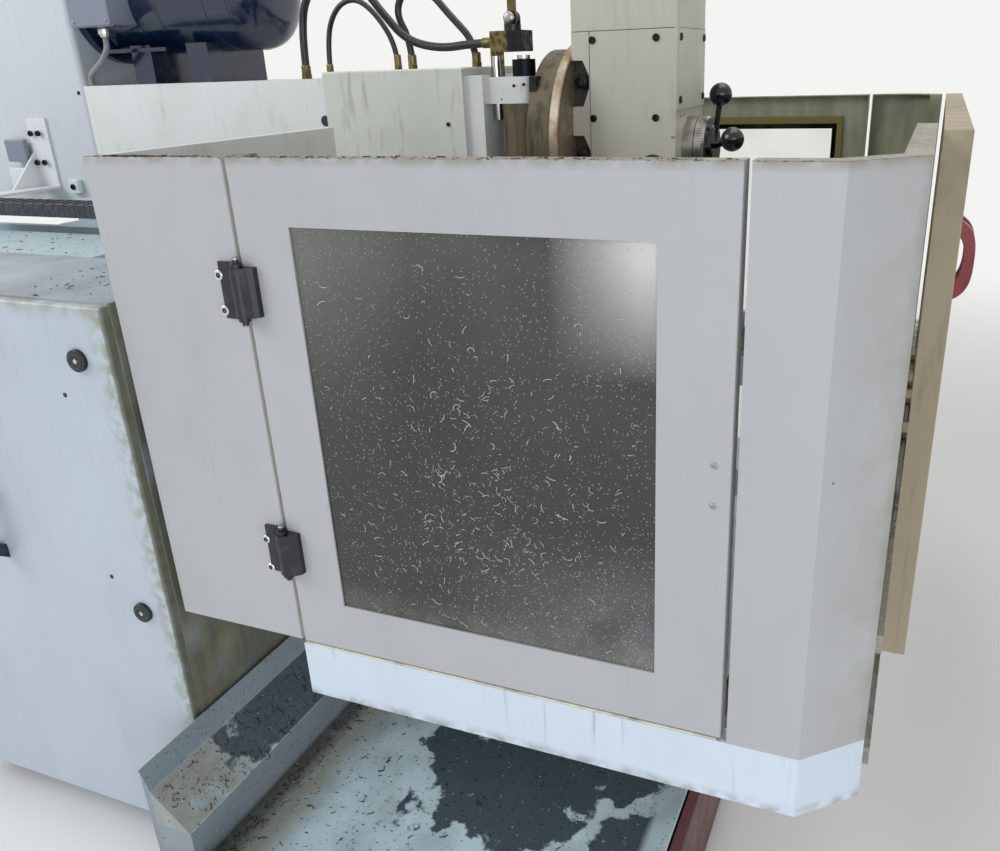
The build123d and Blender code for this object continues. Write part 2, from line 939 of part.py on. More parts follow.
# Table: a slotted plate with a guide tongue between the rails
with BuildPart() as work_table:
    block((-table_half, table_half), (table_front, table_back), (table_bottom, table_top))
    fillet(edges().filter_by(Axis.Z), radius=table_corner)
    tongue_inset = table_rail_inset + table_rail_width + slide_clearance
    block(
        (-table_half + table_tongue_inset, table_half - table_tongue_inset),
        (table_front + tongue_inset, table_back - tongue_inset),
        (cross_beam_top + 1, table_bottom),
    )
    for slot in range(slot_count):
        slot_y = table_middle_y + (slot - (slot_count - 1) / 2) * slot_pitch
        throat_floor = table_top - slot_throat_depth
        with BuildSketch(facing_right(-table_half - 1)):
            with BuildLine():
                Polyline(
                    (slot_y - slot_throat / 2, table_top + 1),
                    (slot_y - slot_throat / 2, throat_floor),
                    (slot_y - slot_head / 2, throat_floor),
                    (slot_y - slot_head / 2, throat_floor - slot_head_height),
                    (slot_y + slot_head / 2, throat_floor - slot_head_height),
                    (slot_y + slot_head / 2, throat_floor),
                    (slot_y + slot_throat / 2, throat_floor),
                    (slot_y + slot_throat / 2, table_top + 1),
                    close=True,
                )
            make_face()
        extrude(amount=2 * table_half + 2, mode=Mode.SUBTRACT)
save(work_table.part, "work_table")

# Cabin frame: arms on the knee, side rails and the posts beside the side doors
with BuildPart() as cabin_frame:
    arm_y = (cabin_back - rear_wall_depth - arm_depth, cabin_back - rear_wall_depth)
    for side in (-1, 1):
        for arm_level in arm_levels:
            arm_z = (arm_level, arm_level + arm_height)
            block((side * saddle_half, side * flange_face), arm_y, arm_z)
            block(
                (side * (flange_face - post_width), side * flange_face),
                (post_front + post_width, arm_y[0]),
                arm_z,
            )
        block(
            (side * (flange_face - post_width), side * flange_face),
            (post_front, post_front + post_width),
            (skirt_bottom, cabin_top),
        )
save(cabin_frame.part, "cabin_frame")

# Rear walls: sheet pans on both sides of the ram's way
with BuildPart() as rear_walls:
    wall_front = cabin_back - rear_wall_depth
    for side in (-1, 1):
        wall_x = (side * rear_wall_inner, side * flange_face)
        block(wall_x, (wall_front, cabin_back), (side_door_bottom + 1, cabin_top))
        block(
            (side * (rear_wall_inner + sheet), side * (flange_face - sheet)),
            (wall_front + sheet, cabin_back + 1),
            (side_door_bottom + 1 + sheet, cabin_top - sheet),
            Mode.SUBTRACT,
        )
save(rear_walls.part, "rear_walls")


def side_pan(side, y_pair, z_pair, depth):
    """Folded panel in a side of the cabin with its flanges turned inward."""
    y_low, y_high = y_pair
    z_low, z_high = z_pair
    outer = side * cabin_half
    block((outer - side * depth, outer), y_pair, z_pair)
    fillet(edges().group_by(Axis.X)[0 if side < 0 else -1], radius=fold_radius)
    block(
        (outer - side * (depth + 1), outer - side * sheet),
        (y_low + sheet, y_high - sheet),
        (z_low + sheet, z_high - sheet),
        Mode.SUBTRACT,
    )


window_y = (door_free_edge + window_margin_front, door_hinge_edge - window_margin_rear)
window_z = (window_bottom, window_top)

# Side panels, side doors, their windows and hinge knuckles, once for each side
for side, hand in ((-1, "left"), (1, "right")):
    with BuildPart() as rear_panel:
        side_pan(side, (rear_panel_front, cabin_back), (side_door_bottom + 1, cabin_top), panel_depth)
    save(rear_panel.part, f"{hand}_rear_panel")

    with BuildPart() as side_door:
        side_pan(
            side,
            (door_free_edge, door_hinge_edge),
            (side_door_bottom, cabin_top),
            panel_depth - door_inset,
        )
        block((side * (cabin_half - sheet - 1), side * (cabin_half + 1)), window_y, window_z, Mode.SUBTRACT)
    save(side_door.part, f"{hand}_door")

    with BuildPart() as side_window:
        block(
            (side * (cabin_half - sheet - pane), side * (cabin_half - sheet)),
            (window_y[0] - pane_overlap, window_y[1] + pane_overlap),
            (window_z[0] - pane_overlap, window_z[1] + pane_overlap),
        )
    save(side_window.part, f"{hand}_window")

    with BuildPart() as hinge_knuckles:
        barrel_height = hinge_height - 2 * (hinge_lug_height + slide_clearance)
        for hinge_z in hinge_levels:
            barrel_bottom = hinge_z - barrel_height / 2
            with BuildSketch(level(barrel_bottom)) as knuckle:
                with Locations((side * hinge_x, hinge_y)):
                    Circle(hinge_barrel_radius)
                with BuildLine():
                    Polyline(
                        (side * (hinge_x + knuckle_rise), hinge_y - knuckle_rise),
                        (side * (hinge_x + knuckle_crest), hinge_y - knuckle_reach + knuckle_slope),
                        (side * (hinge_x - knuckle_nose), hinge_y - knuckle_reach),
                        (side * cabin_half, hinge_y - knuckle_reach),
                        (side * cabin_half, hinge_y - knuckle_crest),
                        close=True,
                    )
                make_face()
                with Locations((side * hinge_x, hinge_y)):
                    Circle(hinge_pin_radius + running_fit, mode=Mode.SUBTRACT)
            extrude(amount=barrel_height)
    save(hinge_knuckles.part, f"{hand}_hinge_knuckles")

# Hinge leaves: flat leaves on the rear panels with end lugs that hold the hinge pins
with BuildPart() as hinge_leaves:
    for side in (-1, 1):
        for hinge_z in hinge_levels:
            leaf_front = hinge_y + hinge_pin_stand_off
            block(
                (side * cabin_half, side * (cabin_half + hinge_leaf)),
                (leaf_front, leaf_front + hinge_leaf_width),
                (hinge_z - hinge_height / 2, hinge_z + hinge_height / 2),
            )
            for lug_z in (hinge_z - hinge_height / 2, hinge_z + hinge_height / 2 - hinge_lug_height):
                with BuildSketch(level(lug_z)) as lug:
                    with Locations((side * hinge_x, hinge_y)):
                        Circle(hinge_pin_radius + lug_wall)
                    with BuildLine():
                        Polyline(
                            (side * (hinge_x + lug_rise), hinge_y + lug_rise),
                            (side * (hinge_x - lug_heel), hinge_y),
                            (side * (cabin_half + leaf_seat), leaf_front - sheet),
                            (side * (cabin_half + leaf_seat), leaf_front + 1),
                            (side * (cabin_half + hinge_leaf), leaf_front + lug_wall),
                            close=True,
                        )
                    make_face()
                extrude(amount=hinge_lug_height)
            round_bar(
                level(hinge_z - hinge_height / 2 - pin_end),
                hinge_pin_radius,
                hinge_height + 2 * pin_end,
                (side * hinge_x, hinge_y),
            )
save(hinge_leaves.part, "hinge_leaves")


def folded_band(path, z_pair, inward, end_flanges):
    """Folded sheet panel along a plan outline, with flanges turned inward on all its edges."""
    z_low, z_high = z_pair
    with BuildSketch(level(z_low)) as band:
        with BuildLine():
            Polyline(*path)
            offset(amount=panel_depth, side=inward)
        make_face()
    extrude(band.sketch, amount=z_high - z_low)
    with BuildSketch(level(z_low + sheet)) as hollow:
        with BuildLine():
            Polyline(*path)
            offset(amount=panel_depth + 1, side=inward)
        make_face()
        with BuildLine():
            Polyline(*path)
            offset(amount=sheet, side=inward)
        make_face(mode=Mode.SUBTRACT)
        for (low_x, high_x), (low_y, high_y) in end_flanges:
            with Locations(((low_x + high_x) / 2, (low_y + high_y) / 2)):
                Rectangle(high_x - low_x, high_y - low_y, mode=Mode.SUBTRACT)
    extrude(hollow.sketch, amount=z_high - z_low - 2 * sheet, mode=Mode.SUBTRACT)


# Front corners: the left one carries the wide near return, the right one a narrow return
corner_ends = ((-1, "left", return_end, Side.LEFT), (1, "right", far_return_end, Side.RIGHT))
for side, hand, return_x, inward in corner_ends:
    with BuildPart() as front_corner:
        outer_x = side * cabin_half
        inner_x_limit = side * (flange_face - 2)
        x_pair = (min(outer_x, inner_x_limit) - 1, max(outer_x, inner_x_limit) + 1)
        return_flange = (min(return_x, return_x + side * sheet), max(return_x, return_x + side * sheet))
        folded_band(
            (
                (outer_x, side_corner_rear),
                (outer_x, crease_y),
                (side * front_return_x, cabin_front),
                (return_x, cabin_front),
            ),
            (corner_bottom, cabin_top),
            inward,
            (
                (x_pair, (side_corner_rear - sheet, side_corner_rear + 1)),
                (return_flange, (cabin_front - 1, cabin_front + panel_depth + 2)),
            ),
        )
    save(front_corner.part, f"{hand}_front_corner")

# Cabin skirt: one folded band below the doors, round both front corners
with BuildPart() as cabin_skirt:
    folded_band(
        (
            (-cabin_half, skirt_rear),
            (-cabin_half, crease_y),
            (-front_return_x, cabin_front),
            (front_return_x, cabin_front),
            (cabin_half, crease_y),
            (cabin_half, skirt_rear),
        ),
        (skirt_bottom, corner_bottom),
        Side.LEFT,
        (
            ((-cabin_half - 1, -flange_face + 2), (skirt_rear - sheet, skirt_rear + 1)),
            ((flange_face - 2, cabin_half + 1), (skirt_rear - sheet, skirt_rear + 1)),
        ),
    )
save(cabin_skirt.part, "cabin_skirt")

# Front apron: sill panel below the front doorway
with BuildPart() as front_apron:
    apron_x = (return_end, far_return_end)
    block(apron_x, (cabin_front, cabin_front + panel_depth), (corner_bottom, apron_top))
    block(
        (apron_x[0] + sheet, apron_x[1] - sheet),
        (cabin_front + sheet, cabin_front + panel_depth + 1),
        (corner_bottom + sheet, apron_top - sheet),
        Mode.SUBTRACT,
    )
save(front_apron.part, "front_apron")

# Door rails: two flat rails along the cabin front
with BuildPart() as door_rails:
    for rail_z in rail_levels:
        block((-rail_half, rail_half), (front_door_back, cabin_front), (rail_z, rail_z + rail_height))
save(door_rails.part, "door_rails")

# Front sliding doors with their windows, shoes and bow handles
leaf_limits = (
    ("left", front_door_near_end, door_middle - meeting_gap / 2, -1),
    ("right", door_middle + meeting_gap / 2, front_door_far_end, 1),
)
for hand, leaf_low, leaf_high, hand_side in leaf_limits:
    leaf_window_x = (leaf_low + front_window_margin, leaf_high - front_window_margin)
    leaf_window_z = (front_window_bottom, window_top)
    door_rear_y = front_door_back - slide_clearance
    with BuildPart() as front_door:
        block((leaf_low, leaf_high), (front_door_face, door_rear_y), (front_door_bottom, cabin_top))
        fillet(edges().group_by(Axis.Y)[0], radius=fold_radius)
        block(
            (leaf_low + sheet, leaf_high - sheet),
            (front_door_face + sheet, door_rear_y + 1),
            (front_door_bottom + sheet, cabin_top - sheet),
            Mode.SUBTRACT,
        )
        block(leaf_window_x, (front_door_face - 1, front_door_face + sheet + 1), leaf_window_z, Mode.SUBTRACT)
        inner_end = leaf_high if hand_side < 0 else leaf_low
        for step in shoe_steps:
            shoe_near = inner_end + hand_side * step
            for rail_z in rail_levels:
                shoe_bottom = rail_z + rail_height + slide_clearance
                block(
                    (shoe_near, shoe_near + hand_side * shoe_length),
                    (front_door_face + sheet, cabin_front - slide_clearance),
                    (shoe_bottom, shoe_bottom + shoe_height),
                )
    save(front_door.part, f"front_{hand}_door")

    with BuildPart() as front_window:
        block(
            (leaf_window_x[0] - pane_overlap, leaf_window_x[1] + pane_overlap),
            (front_door_face + sheet, front_door_face + sheet + pane),
            (leaf_window_z[0] - pane_overlap, leaf_window_z[1] + pane_overlap),
        )
    save(front_window.part, f"front_{hand}_window")

    with BuildPart() as front_handle:
        handle_x = inner_end + hand_side * front_handle_edge
        handle_middle = front_handle_bottom + front_handle_height / 2
        handle_half = front_handle_height / 2
        grip_y = front_door_face - front_handle_reach
        with BuildSketch(facing_right(handle_x - front_handle_bar / 2)):
            with BuildLine():
                outer_low = (front_door_face, handle_middle - handle_half)
                outer_high = (front_door_face, handle_middle + handle_half)
                inner_low = (front_door_face, handle_middle - handle_half + front_handle_foot)
                inner_high = (front_door_face, handle_middle + handle_half - front_handle_foot)
                Spline(
                    outer_low,
                    (grip_y + front_handle_crown, handle_middle - handle_half * outer_bow_share),
                    (grip_y, handle_middle),
                    (grip_y + front_handle_crown, handle_middle + handle_half * outer_bow_share),
                    outer_high,
                )
                Line(outer_high, inner_high)
                Spline(
                    inner_high,
                    (grip_y + front_handle_haunch, handle_middle + handle_half * inner_bow_share),
                    (grip_y + front_handle_grip, handle_middle),
                    (grip_y + front_handle_haunch, handle_middle - handle_half * inner_bow_share),
                    inner_low,
                )
                Line(inner_low, outer_low)
            make_face()
        extrude(amount=front_handle_bar)
    save(front_handle.part, f"front_{hand}_handle")

# Ram casting: slide foot, box body, round spindle nose and the two swing lugs
with BuildPart() as ram_casting:
    block(
        (-guide_foot_half, guide_foot_half),
        (ram_foot_front, ram_back),
        (ram_foot_bottom, ram_foot_top),
    )
    neck_half = guide_foot_half - guide_lip - 2 * slide_clearance - guide_neck_gap
    block((-neck_half, neck_half), (ram_foot_front, ram_back), (ram_foot_top, cover_bottom))
    block((-casting_half, casting_half), (ram_front, ram_back), (cover_bottom, casting_top))
    with BuildSketch(facing_front(ram_front)):
        with Locations((0, spindle_level)):
            Circle(nose_radius)
        with Locations((nose_side - nose_radius, spindle_level)):
            Rectangle(2 * nose_radius, 2 * nose_radius, mode=Mode.SUBTRACT)
    extrude(amount=ram_front - carrier_back - slide_clearance)
    for lug_low, lug_high in ((lower_lug_bottom, lower_lug_top), (upper_lug_bottom, upper_lug_top)):
        with BuildSketch(level(lug_low)):
            with Locations((swing_x, swing_y)):
                Circle(swing_lug_radius)
            with Locations((swing_x, (swing_y + ram_front) / 2)):
                Rectangle(2 * swing_lug_radius, ram_front - swing_y)
            with Locations((swing_x, swing_y)):
                Circle(swing_pin_radius, mode=Mode.SUBTRACT)
            with Locations((swing_x, locating_pin_y)):
                Circle(locating_pin_radius, mode=Mode.SUBTRACT)
        extrude(amount=lug_high - lug_low)
    round_bar(
        facing_front(carrier_back + spindle_length),
        spindle_radius + running_fit,
        spindle_length + 1,
        (0, spindle_level),
        Mode.SUBTRACT,
    )
    round_bar(
        facing_front(spindle_front + spindle_nose_length + slide_clearance),
        spindle_nose_radius + spindle_nose_gap,
        spindle_nose_length + spindle_nose_inset + 1,
        (0, spindle_level),
        Mode.SUBTRACT,
    )
    block(
        (-casting_half + ram_wall, casting_half - ram_wall),
        (ram_cavity_front, ram_back - ram_wall),
        (cover_bottom + ram_wall, casting_top - ram_wall),
        Mode.SUBTRACT,
    )
save(ram_casting.part, "ram_casting")

# Ram cover: folded sheet over the rear part of the ram
with BuildPart() as ram_cover:
    with BuildSketch(facing_front(ram_back)):
        with BuildLine():
            Polyline(
                (-ram_half, cover_bottom),
                (-ram_half, ram_top),
                (ram_half, ram_top),
                (ram_half, cover_bottom),
                (casting_half, cover_bottom),
                (casting_half, casting_top),
                (-casting_half, casting_top),
                (-casting_half, cover_bottom),
                close=True,
            )
        make_face()
    extrude(amount=ram_back - cover_front)
save(ram_cover.part, "ram_cover")

# Front cover: a slightly larger hood over the front part of the ram
with BuildPart() as ram_front_cover:
    hood_length = front_cover_back - front_cover_front
    inner_half = front_cover_half - cover_sheet
    with BuildSketch(facing_front(front_cover_back)):
        with Locations((0, (cover_bottom + front_cover_top) / 2)):
            Rectangle(2 * front_cover_half, front_cover_top - cover_bottom)
        fillet(vertices().group_by(Axis.Y)[-1], radius=front_cover_edge)
        with Locations((0, (cover_bottom + front_cover_top - cover_sheet) / 2)):
            Rectangle(2 * inner_half, front_cover_top - cover_sheet - cover_bottom, mode=Mode.SUBTRACT)
    extrude(amount=hood_length)
    with BuildSketch(facing_front(front_cover_front + cover_sheet)):
        with Locations((0, (cover_bottom + front_cover_top - cover_sheet) / 2)):
            Rectangle(2 * inner_half, front_cover_top - cover_sheet - cover_bottom)
        with Locations((0, (cover_bottom + casting_top) / 2)):
            Rectangle(2 * casting_half, casting_top - cover_bottom, mode=Mode.SUBTRACT)
    extrude(amount=cover_sheet)
    block(
        (-front_cover_half, front_cover_half),
        (front_cover_front, front_cover_lip),
        (front_cover_top - cover_sheet - 1, front_cover_top - 1),
    )
save(ram_front_cover.part, "ram_front_cover")

# Rear housing: the tall drive housing behind the ram
with BuildPart() as rear_housing:
    block((-ram_half, ram_half), (ram_back, housing_back), (housing_bottom, housing_top))
    fillet(edges().filter_by(Axis.Z), radius=housing_corner)
    fillet(faces().sort_by(Axis.Z)[-1].edges(), radius=housing_top_edge)
    block(
        (-ram_half + housing_wall, ram_half - housing_wall),
        (ram_back + housing_wall, housing_back - housing_wall),
        (housing_bottom + housing_wall, housing_top - housing_wall),
        Mode.SUBTRACT,
    )
save(rear_housing.part, "rear_housing")

# Main motor: a round body with a domed end, bands and a rear flange
with BuildPart() as main_motor:
    with BuildSketch(facing_right(0)):
        with BuildLine():
            body_front = motor_front + motor_dome_length
            band_radius = motor_radius + motor_band_rise
            flange_front = ram_back - motor_flange_length
            dome = Spline(
                (motor_front, motor_level),
                (motor_front + motor_dome_run, motor_level + motor_radius * motor_dome_share),
                (body_front, motor_level + motor_radius),
                tangents=((0, 1), (1, motor_dome_slope)),
            )
            Polyline(
                dome @ 1,
                (flange_front - motor_band_length, motor_level + motor_radius),
                (flange_front - motor_band_length, motor_level + band_radius),
                (flange_front, motor_level + band_radius),
                (flange_front, motor_level + motor_flange_radius),
                (ram_back, motor_level + motor_flange_radius),
                (ram_back, motor_level),
                (motor_front, motor_level),
            )
        make_face()
    revolve(axis=Axis((0, 0, motor_level), (0, 1, 0)))
save(main_motor.part, "main_motor")

# Motor mounts: two cradles on the ram cover and the plate beside the rear one
with BuildPart() as motor_mounts:
    for foot_y in (motor_foot_rear_y, motor_foot_front_y):
        with BuildSketch(facing_front(foot_y + motor_foot_length / 2)):
            with BuildLine():
                Polyline(
                    (-motor_foot_half, ram_top),
                    (-motor_foot_half, motor_level - motor_cradle_drop),
                    (motor_foot_half, motor_level - motor_cradle_drop),
                    (motor_foot_half, ram_top),
                    close=True,
                )
            make_face()
            with Locations((0, motor_level)):
                Circle(motor_radius, mode=Mode.SUBTRACT)
        extrude(amount=motor_foot_length)
    for side in (-1, 1):
        block(
            (side * (motor_foot_half - motor_plate_inset), side * motor_plate_half),
            (motor_plate_front, motor_plate_back),
            (motor_plate_bottom, motor_plate_bottom + motor_plate_thickness),
        )
    round_bar(
        facing_front(ram_back - motor_flange_length - motor_band_length),
        motor_radius,
        ram_back - motor_front,
        (0, motor_level),
        Mode.SUBTRACT,
    )
save(motor_mounts.part, "motor_mounts")

# Terminal box on the motor's left side, with the cable gland below it
with BuildPart() as terminal_box:
    block((terminal_outer, 0), (terminal_front, terminal_back), (terminal_bottom, terminal_top))
    fillet(edges().filter_by(Axis.X), radius=terminal_corner)
    fillet(faces().sort_by(Axis.X)[0].edges(), radius=terminal_edge)
    round_bar(
        facing_front(terminal_back + 1),
        motor_radius,
        terminal_back - terminal_front + 2,
        (0, motor_level),
        Mode.SUBTRACT,
    )
    round_bar(level(terminal_bottom - gland_length), gland_radius, gland_length, (gland_x, gland_y))
save(terminal_box.part, "terminal_box")


def tube(points, radius):
    """Hose or cable: straight runs joined by arcs as large as the runs allow."""
    corners = [Vector(*point) for point in points]
    radii = []
    for before, corner, after in zip(corners, corners[1:], corners[2:]):
        run_in = corner - before
        run_out = after - corner
        half_turn = math.radians(run_in.get_angle(run_out)) / 2
        radii.append(arc_share * min(run_in.length, run_out.length) / math.tan(half_turn))
    with BuildPart() as hose:
        with BuildLine():
            route = FilletPolyline(*corners, radius=radii)
        with BuildSketch(Plane(origin=route @ 0, z_dir=route % 0)):
            Circle(radius)
        sweep()
    return hose.part


# Motor cable: from the gland down to the ram cover
cable_points = (
    (gland_x, gland_y, terminal_bottom - gland_length),
    (gland_x, gland_y, terminal_bottom - gland_length - 36),
    (gland_x + 4, gland_y + 34, terminal_bottom - gland_length - 66),
    (gland_x + 10, gland_y + 70, terminal_bottom - gland_length - 84),
    (gland_x + 18, gland_y + 98, ram_top + 24),
    (gland_x + 18, gland_y + 98, ram_top),
)
save(tube(cable_points, cable_radius), "motor_cable")

# Chain bracket: an angle on the rear housing that holds the chain's moving end
with BuildPart() as chain_bracket:
    bracket_y = (bracket_centre_y - bracket_width / 2, bracket_centre_y + bracket_width / 2)
    chain_top = chain_upper_bottom + chain_height
    block((-ram_half - bracket_plate, -ram_half), bracket_y, (chain_top, bracket_top))
    block((channel_outer, -ram_half), bracket_y, (chain_top, chain_top + bracket_plate))
    with BuildSketch(facing_front(bracket_y[1])):
        with BuildLine():
            Polyline(
                (-ram_half - bracket_plate, chain_top + bracket_plate),
                (-ram_half - bracket_plate, chain_top + bracket_plate + bracket_gusset),
                (-ram_half - bracket_plate - bracket_gusset, chain_top + bracket_plate),
                close=True,
            )
        make_face()
    extrude(amount=bracket_plate)
save(chain_bracket.part, "chain_bracket")

# Coolant block on a plate in front of the ram
with BuildPart() as coolant_block:
    plate_front = block_plate_back - block_plate
    block(
        (block_x - block_half, block_x + block_half),
        (plate_front, block_plate_back),
        (upper_lug_top, block_top),
    )
    block(
        (block_x - block_half, block_x + block_half),
        (block_front, plate_front),
        (block_bottom, block_top),
    )
    for cheek in (-1, 1):
        cheek_x = block_x + cheek * (arm_link / 2 + slide_clearance) - (arm_cheek if cheek < 0 else 0)
        with BuildSketch(facing_right(cheek_x)):
            with Locations((arm_joint_y, arm_joint_z)):
                Circle(arm_eye_radius)
            with Locations((arm_joint_y, (block_top + arm_joint_z) / 2)):
                Rectangle(2 * arm_eye_radius, arm_joint_z - block_top)
        extrude(amount=arm_cheek)
    pin_half = arm_link / 2 + arm_cheek + arm_pin_reach
    round_bar(facing_right(block_x - pin_half), arm_pin_radius, 2 * pin_half, (arm_joint_y, arm_joint_z))
save(coolant_block.part, "coolant_block")

# Coolant arm: two jointed links, the upper one ends in the nozzle
elbow_z = arm_joint_z + lower_arm_length
with BuildPart() as coolant_arm_lower:
    with BuildSketch(facing_right(block_x - arm_link / 2)):
        with Locations((arm_joint_y, (arm_joint_z + elbow_z) / 2)):
            Rectangle(arm_bar, lower_arm_length)
        with Locations((arm_joint_y, arm_joint_z), (arm_joint_y, elbow_z)):
            Circle(arm_eye_radius)
        with Locations((arm_joint_y, arm_joint_z)):
            Circle(arm_pin_radius + running_fit, mode=Mode.SUBTRACT)
    extrude(amount=arm_link)
    round_bar(
        facing_right(block_x + arm_link / 2),
        arm_pin_radius,
        arm_link + arm_pin_reach,
        (arm_joint_y, elbow_z),
    )
save(coolant_arm_lower.part, "coolant_arm_lower")

with BuildPart() as coolant_arm_upper:
    upper_x = block_x + arm_link / 2 + slide_clearance
    nozzle_y = arm_joint_y - upper_arm_reach
    nozzle_z = elbow_z + upper_arm_rise
    with BuildSketch(facing_right(upper_x)):
        with BuildLine():
            spine = Line((arm_joint_y, elbow_z), (nozzle_y, nozzle_z))
        trace(line_width=upper_arm_bar)
        with Locations((arm_joint_y, elbow_z)):
            Circle(arm_eye_radius)
            Circle(arm_pin_radius + running_fit, mode=Mode.SUBTRACT)
    extrude(amount=arm_link)
    rod_between(
        (upper_x + arm_link / 2, nozzle_y + nozzle_start, nozzle_z),
        (upper_x + arm_link / 2, nozzle_y - nozzle_run, nozzle_z - nozzle_drop),
        nozzle_radius,
    )
save(coolant_arm_upper.part, "coolant_arm_upper")

# Coolant hoses: from the block and the front cover up and over to the ram cover
hose_routes = (
    (hose_radius, (
        (-80, block_plate_back, 1638),
        (-80, -232, 1638),
        (-82, -150, 1630),
        (-84, -66, 1650),
        (-86, -10, 1710),
        (-86, 40, 1772),
        (-84, 110, 1800),
        (-82, 186, 1770),
        (-80, 222, 1690),
        (-80, 222, ram_top),
    )),
    (loop_hose_radius, (
        (-50, -223, front_cover_top),
        (-50, -223, 1640),
        (-46, -160, 1700),
        (-44, -112, 1752),
        (-44, -52, 1764),
        (-44, -18, 1712),
        (-46, -54, 1652),
        (-46, -54, front_cover_top),
    )),
    (thin_hose_radius, (
        (-112, -55, front_cover_top),
        (-112, -55, 1640),
        (-112, -8, 1710),
        (-112, 42, 1744),
        (-112, 96, 1726),
        (-112, 130, 1660),
        (-112, 130, ram_top),
    )),
)
hoses = [tube(points, radius) for radius, points in hose_routes]
save(Compound(children=hoses), "coolant_hoses")

# Hinge pin of the swinging carrier, its ring nut and the locating pin beside it
with BuildPart() as hinge_pin:
    round_bar(
        level(lower_lug_bottom - swing_pin_reach),
        swing_pin_radius,
        swing_nut_top - lower_lug_bottom + swing_pin_reach,
        (swing_x, swing_y),
    )
    nut_height = swing_nut_top - upper_lug_top - swing_nut_step
    round_bar(level(upper_lug_top), swing_nut_radius, nut_height, (swing_x, swing_y))
    round_bar(
        level(locating_pin_bottom),
        locating_pin_radius,
        swing_nut_top - locating_pin_bottom,
        (swing_x, locating_pin_y),
    )
save(hinge_pin.part, "hinge_pin")

# Horizontal spindle in the ram's nose
with BuildPart() as horizontal_spindle:
    round_bar(
        facing_front(carrier_back + spindle_length - slide_clearance),
        spindle_radius,
        spindle_length - slide_clearance - spindle_nose_inset,
        (0, spindle_level),
    )
    round_bar(
        facing_front(spindle_front + spindle_nose_length),
        spindle_nose_radius,
        spindle_nose_length,
        (0, spindle_level),
    )
    with BuildSketch(facing_right(0)):
        with BuildLine():
            taper_end = spindle_front + taper_depth
            Polyline(
                (spindle_front, spindle_level),
                (spindle_front, spindle_level + taper_mouth),
                (taper_end, spindle_level + taper_mouth - taper_depth * taper_ratio),
                (taper_end, spindle_level + drawbar_radius),
                (carrier_back + spindle_length, spindle_level + drawbar_radius),
                (carrier_back + spindle_length, spindle_level),
                close=True,
            )
        make_face()
    revolve(axis=Axis((0, 0, spindle_level), (0, 1, 0)), mode=Mode.SUBTRACT)
save(horizontal_spindle.part, "horizontal_spindle")

# Carrier: hinge barrel and the round plate that carries the swivel
with BuildPart() as carrier_casting:
    round_bar(facing_front(carrier_back), carrier_radius, carrier_back - carrier_front, (0, spindle_level))
    barrel_low = lower_lug_top + slide_clearance
    barrel_high = upper_lug_bottom - slide_clearance
    round_bar(level(barrel_low), swing_barrel_radius, barrel_high - barrel_low, (swing_x, swing_y))
    round_bar(
        level(barrel_low - 1),
        swing_pin_radius + running_fit,
        barrel_high - barrel_low + 2,
        (swing_x, swing_y),
        Mode.SUBTRACT,
    )
save(carrier_casting.part, "carrier_casting")

# Swivel ring: the graduated ring in front of the carrier, with a seat for the head's spigot
with BuildPart() as swivel_ring:
    round_bar(facing_front(carrier_front), swivel_radius, carrier_front - swivel_front, (0, spindle_level))
    round_bar(
        facing_front(swivel_front + spigot_length + slide_clearance),
        spigot_radius + running_fit,
        spigot_length + 1,
        (0, spindle_level),
        Mode.SUBTRACT,
    )
    front_circles = edges().filter_by(GeomType.CIRCLE).group_by(Axis.Y)[0]
    chamfer(front_circles.sort_by(SortBy.RADIUS)[-1], length=swivel_edge)
save(swivel_ring.part, "swivel_ring")

# Milling head: box casting with a recessed lower front and a quill bore
with BuildPart() as head_casting:
    with BuildSketch(level(head_bottom)):
        with BuildLine():
            Polyline(
                (-head_half, head_back),
                (-head_half, head_high_front + head_chamfer),
                (-head_half + head_chamfer, head_high_front),
                (head_half - head_chamfer, head_high_front),
                (head_half, head_high_front + head_chamfer),
                (head_half, head_back),
                close=True,
            )
        make_face()
    extrude(amount=head_top - head_bottom)
    block(
        (-head_half, head_half),
        (head_high_front - 1, head_low_front),
        (head_bottom - 1, head_step),
        Mode.SUBTRACT,
    )
    round_bar(facing_front(head_back + spigot_length), spigot_radius, spigot_length + 1, (0, spindle_level))
    for side in (-1, 1):
        pocket_x = -head_half - 1 if side < 0 else head_half - clamp_pocket_depth
        for clamp_z in clamp_levels:
            with BuildSketch(facing_right(pocket_x)):
                with BuildLine():
                    Polyline(
                        (head_back + 1, clamp_z + clamp_pocket_top),
                        (head_back - clamp_pocket_waist, clamp_z + clamp_pocket_top),
                        (head_back - clamp_pocket_width, clamp_z + clamp_pocket_shoulder),
                        (head_back - clamp_pocket_width, clamp_z - clamp_pocket_hip),
                        (head_back - clamp_pocket_waist, clamp_z - clamp_pocket_bottom),
                        (head_back + 1, clamp_z - clamp_pocket_bottom),
                        close=True,
                    )
                make_face()
            extrude(amount=clamp_pocket_depth + 1, mode=Mode.SUBTRACT)
        block(
            (side * (head_half - side_cover_depth), side * (head_half + 1)),
            (side_cover_front, side_cover_rear),
            (side_cover_bottom, head_top),
            Mode.SUBTRACT,
        )
    round_bar(
        level(head_bottom - 1),
        quill_radius + running_fit,
        head_top - head_bottom + 2,
        (0, quill_y),
        Mode.SUBTRACT,
    )
    round_bar(
        facing_front(head_low_front + dial_shaft_length + 1),
        dial_shaft_radius + running_fit,
        dial_shaft_length + 2,
        (dial_x, dial_z),
        Mode.SUBTRACT,
    )
save(head_casting.part, "head_casting")

# Side covers: flat plates let into both sides of the head
with BuildPart() as head_side_covers:
    for side in (-1, 1):
        block(
            (side * (head_half - side_cover_depth), side * head_half),
            (side_cover_front, side_cover_rear),
            (side_cover_bottom, head_top),
        )
save(head_side_covers.part, "head_side_covers")

